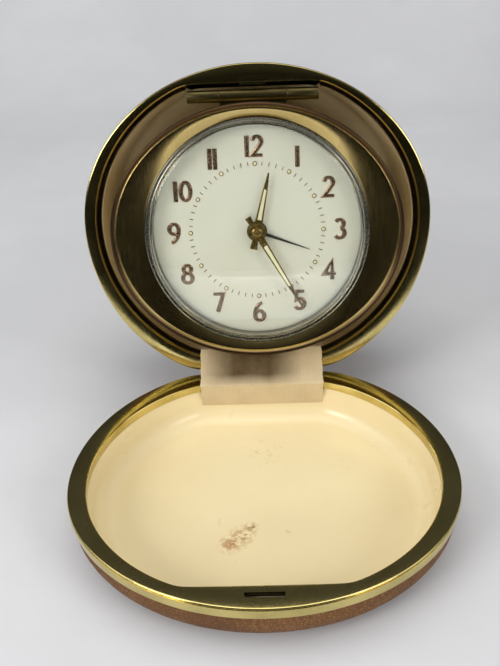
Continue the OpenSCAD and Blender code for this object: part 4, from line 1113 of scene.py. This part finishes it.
# Colour of the surroundings by how far up a ray points, from level at 0 to overhead at 1
SKY = (
    (0.25, (0.008, 0.008, 0.007)),
    (0.65, (0.07, 0.071, 0.072)),
    (0.85, (0.08, 0.08, 0.08)),
    (0.92, (1, 0.99, 0.97)),
)
ZENITH = 1.35  # strength of the overhead patch
BACKDROP = (0.56, 0.57, 0.59, 1)


def world():
    """Dim surroundings with a bright patch overhead; the camera itself sees a plain pale backdrop."""
    made = bpy.data.worlds.new("world")
    made.use_nodes = True
    nodes, links = made.node_tree.nodes, made.node_tree.links
    direction = nodes.new("ShaderNodeTexCoord")
    split = nodes.new("ShaderNodeSeparateXYZ")
    links.new(direction.outputs["Generated"], split.inputs[0])
    ramp = nodes.new("ShaderNodeValToRGB")
    steps = ramp.color_ramp.elements
    for place, colour in SKY:
        step = steps.new(place)
        step.color = (*colour, 1)
    steps.remove(steps[0])
    steps.remove(steps[-1])
    gain = nodes.new("ShaderNodeMapRange")
    for socket, number in zip(RANGE, (SKY[-2][0], SKY[-1][0], 1.0, ZENITH)):
        gain.inputs[socket].default_value = number
    links.new(split.outputs["Z"], gain.inputs["Value"])
    links.new(split.outputs["Z"], ramp.inputs["Fac"])
    links.new(ramp.outputs["Color"], nodes["Background"].inputs["Color"])
    links.new(gain.outputs["Result"], nodes["Background"].inputs["Strength"])
    seen = nodes.new("ShaderNodeBackground")
    rays = nodes.new("ShaderNodeLightPath")
    chosen = nodes.new("ShaderNodeMixShader")
    seen.inputs["Color"].default_value = BACKDROP
    links.new(rays.outputs["Is Camera Ray"], chosen.inputs[0])
    links.new(nodes["Background"].outputs[0], chosen.inputs[1])
    links.new(seen.outputs[0], chosen.inputs[2])
    links.new(chosen.outputs[0], nodes["World Output"].inputs["Surface"])
    bpy.context.scene.world = made


camera()
floor()
world()
bpy.context.scene.view_settings.view_transform = "Standard"
WARM = (1.0, 0.985, 0.96)
lamp("overhead", (0.0, 0.08, 0.62), (0.0, 0.0, 0.0), (0.9, 0.4), 0.75, WARM)
lamp("key", (-0.44, -0.36, 0.36), (0.0, 0.03, 0.04), (0.26, 0.26), 1.8, WARM)
lamp("fill", (0.46, -0.38, 0.36), (0.0, 0.03, 0.04), (0.26, 0.26), 1.1, WARM)
lamp("left", (-0.5, -0.05, 0.42), (0.0, 0.0, 0.04), (0.35, 0.35), 0.8, (0.97, 0.985, 1.0))
lamp("right", (0.5, -0.05, 0.42), (0.0, 0.0, 0.04), (0.35, 0.35), 0.55, (1.0, 0.99, 0.97))
front = lamp("front", (0.0, -0.6, 0.13), (0.0, 0.05, 0.06), (0.3, 0.2), 1.25, WARM)
# It fills the shadows on the face without a glare of its own on the crystal and metal.
front.visible_glossy = front.visible_transmission = False
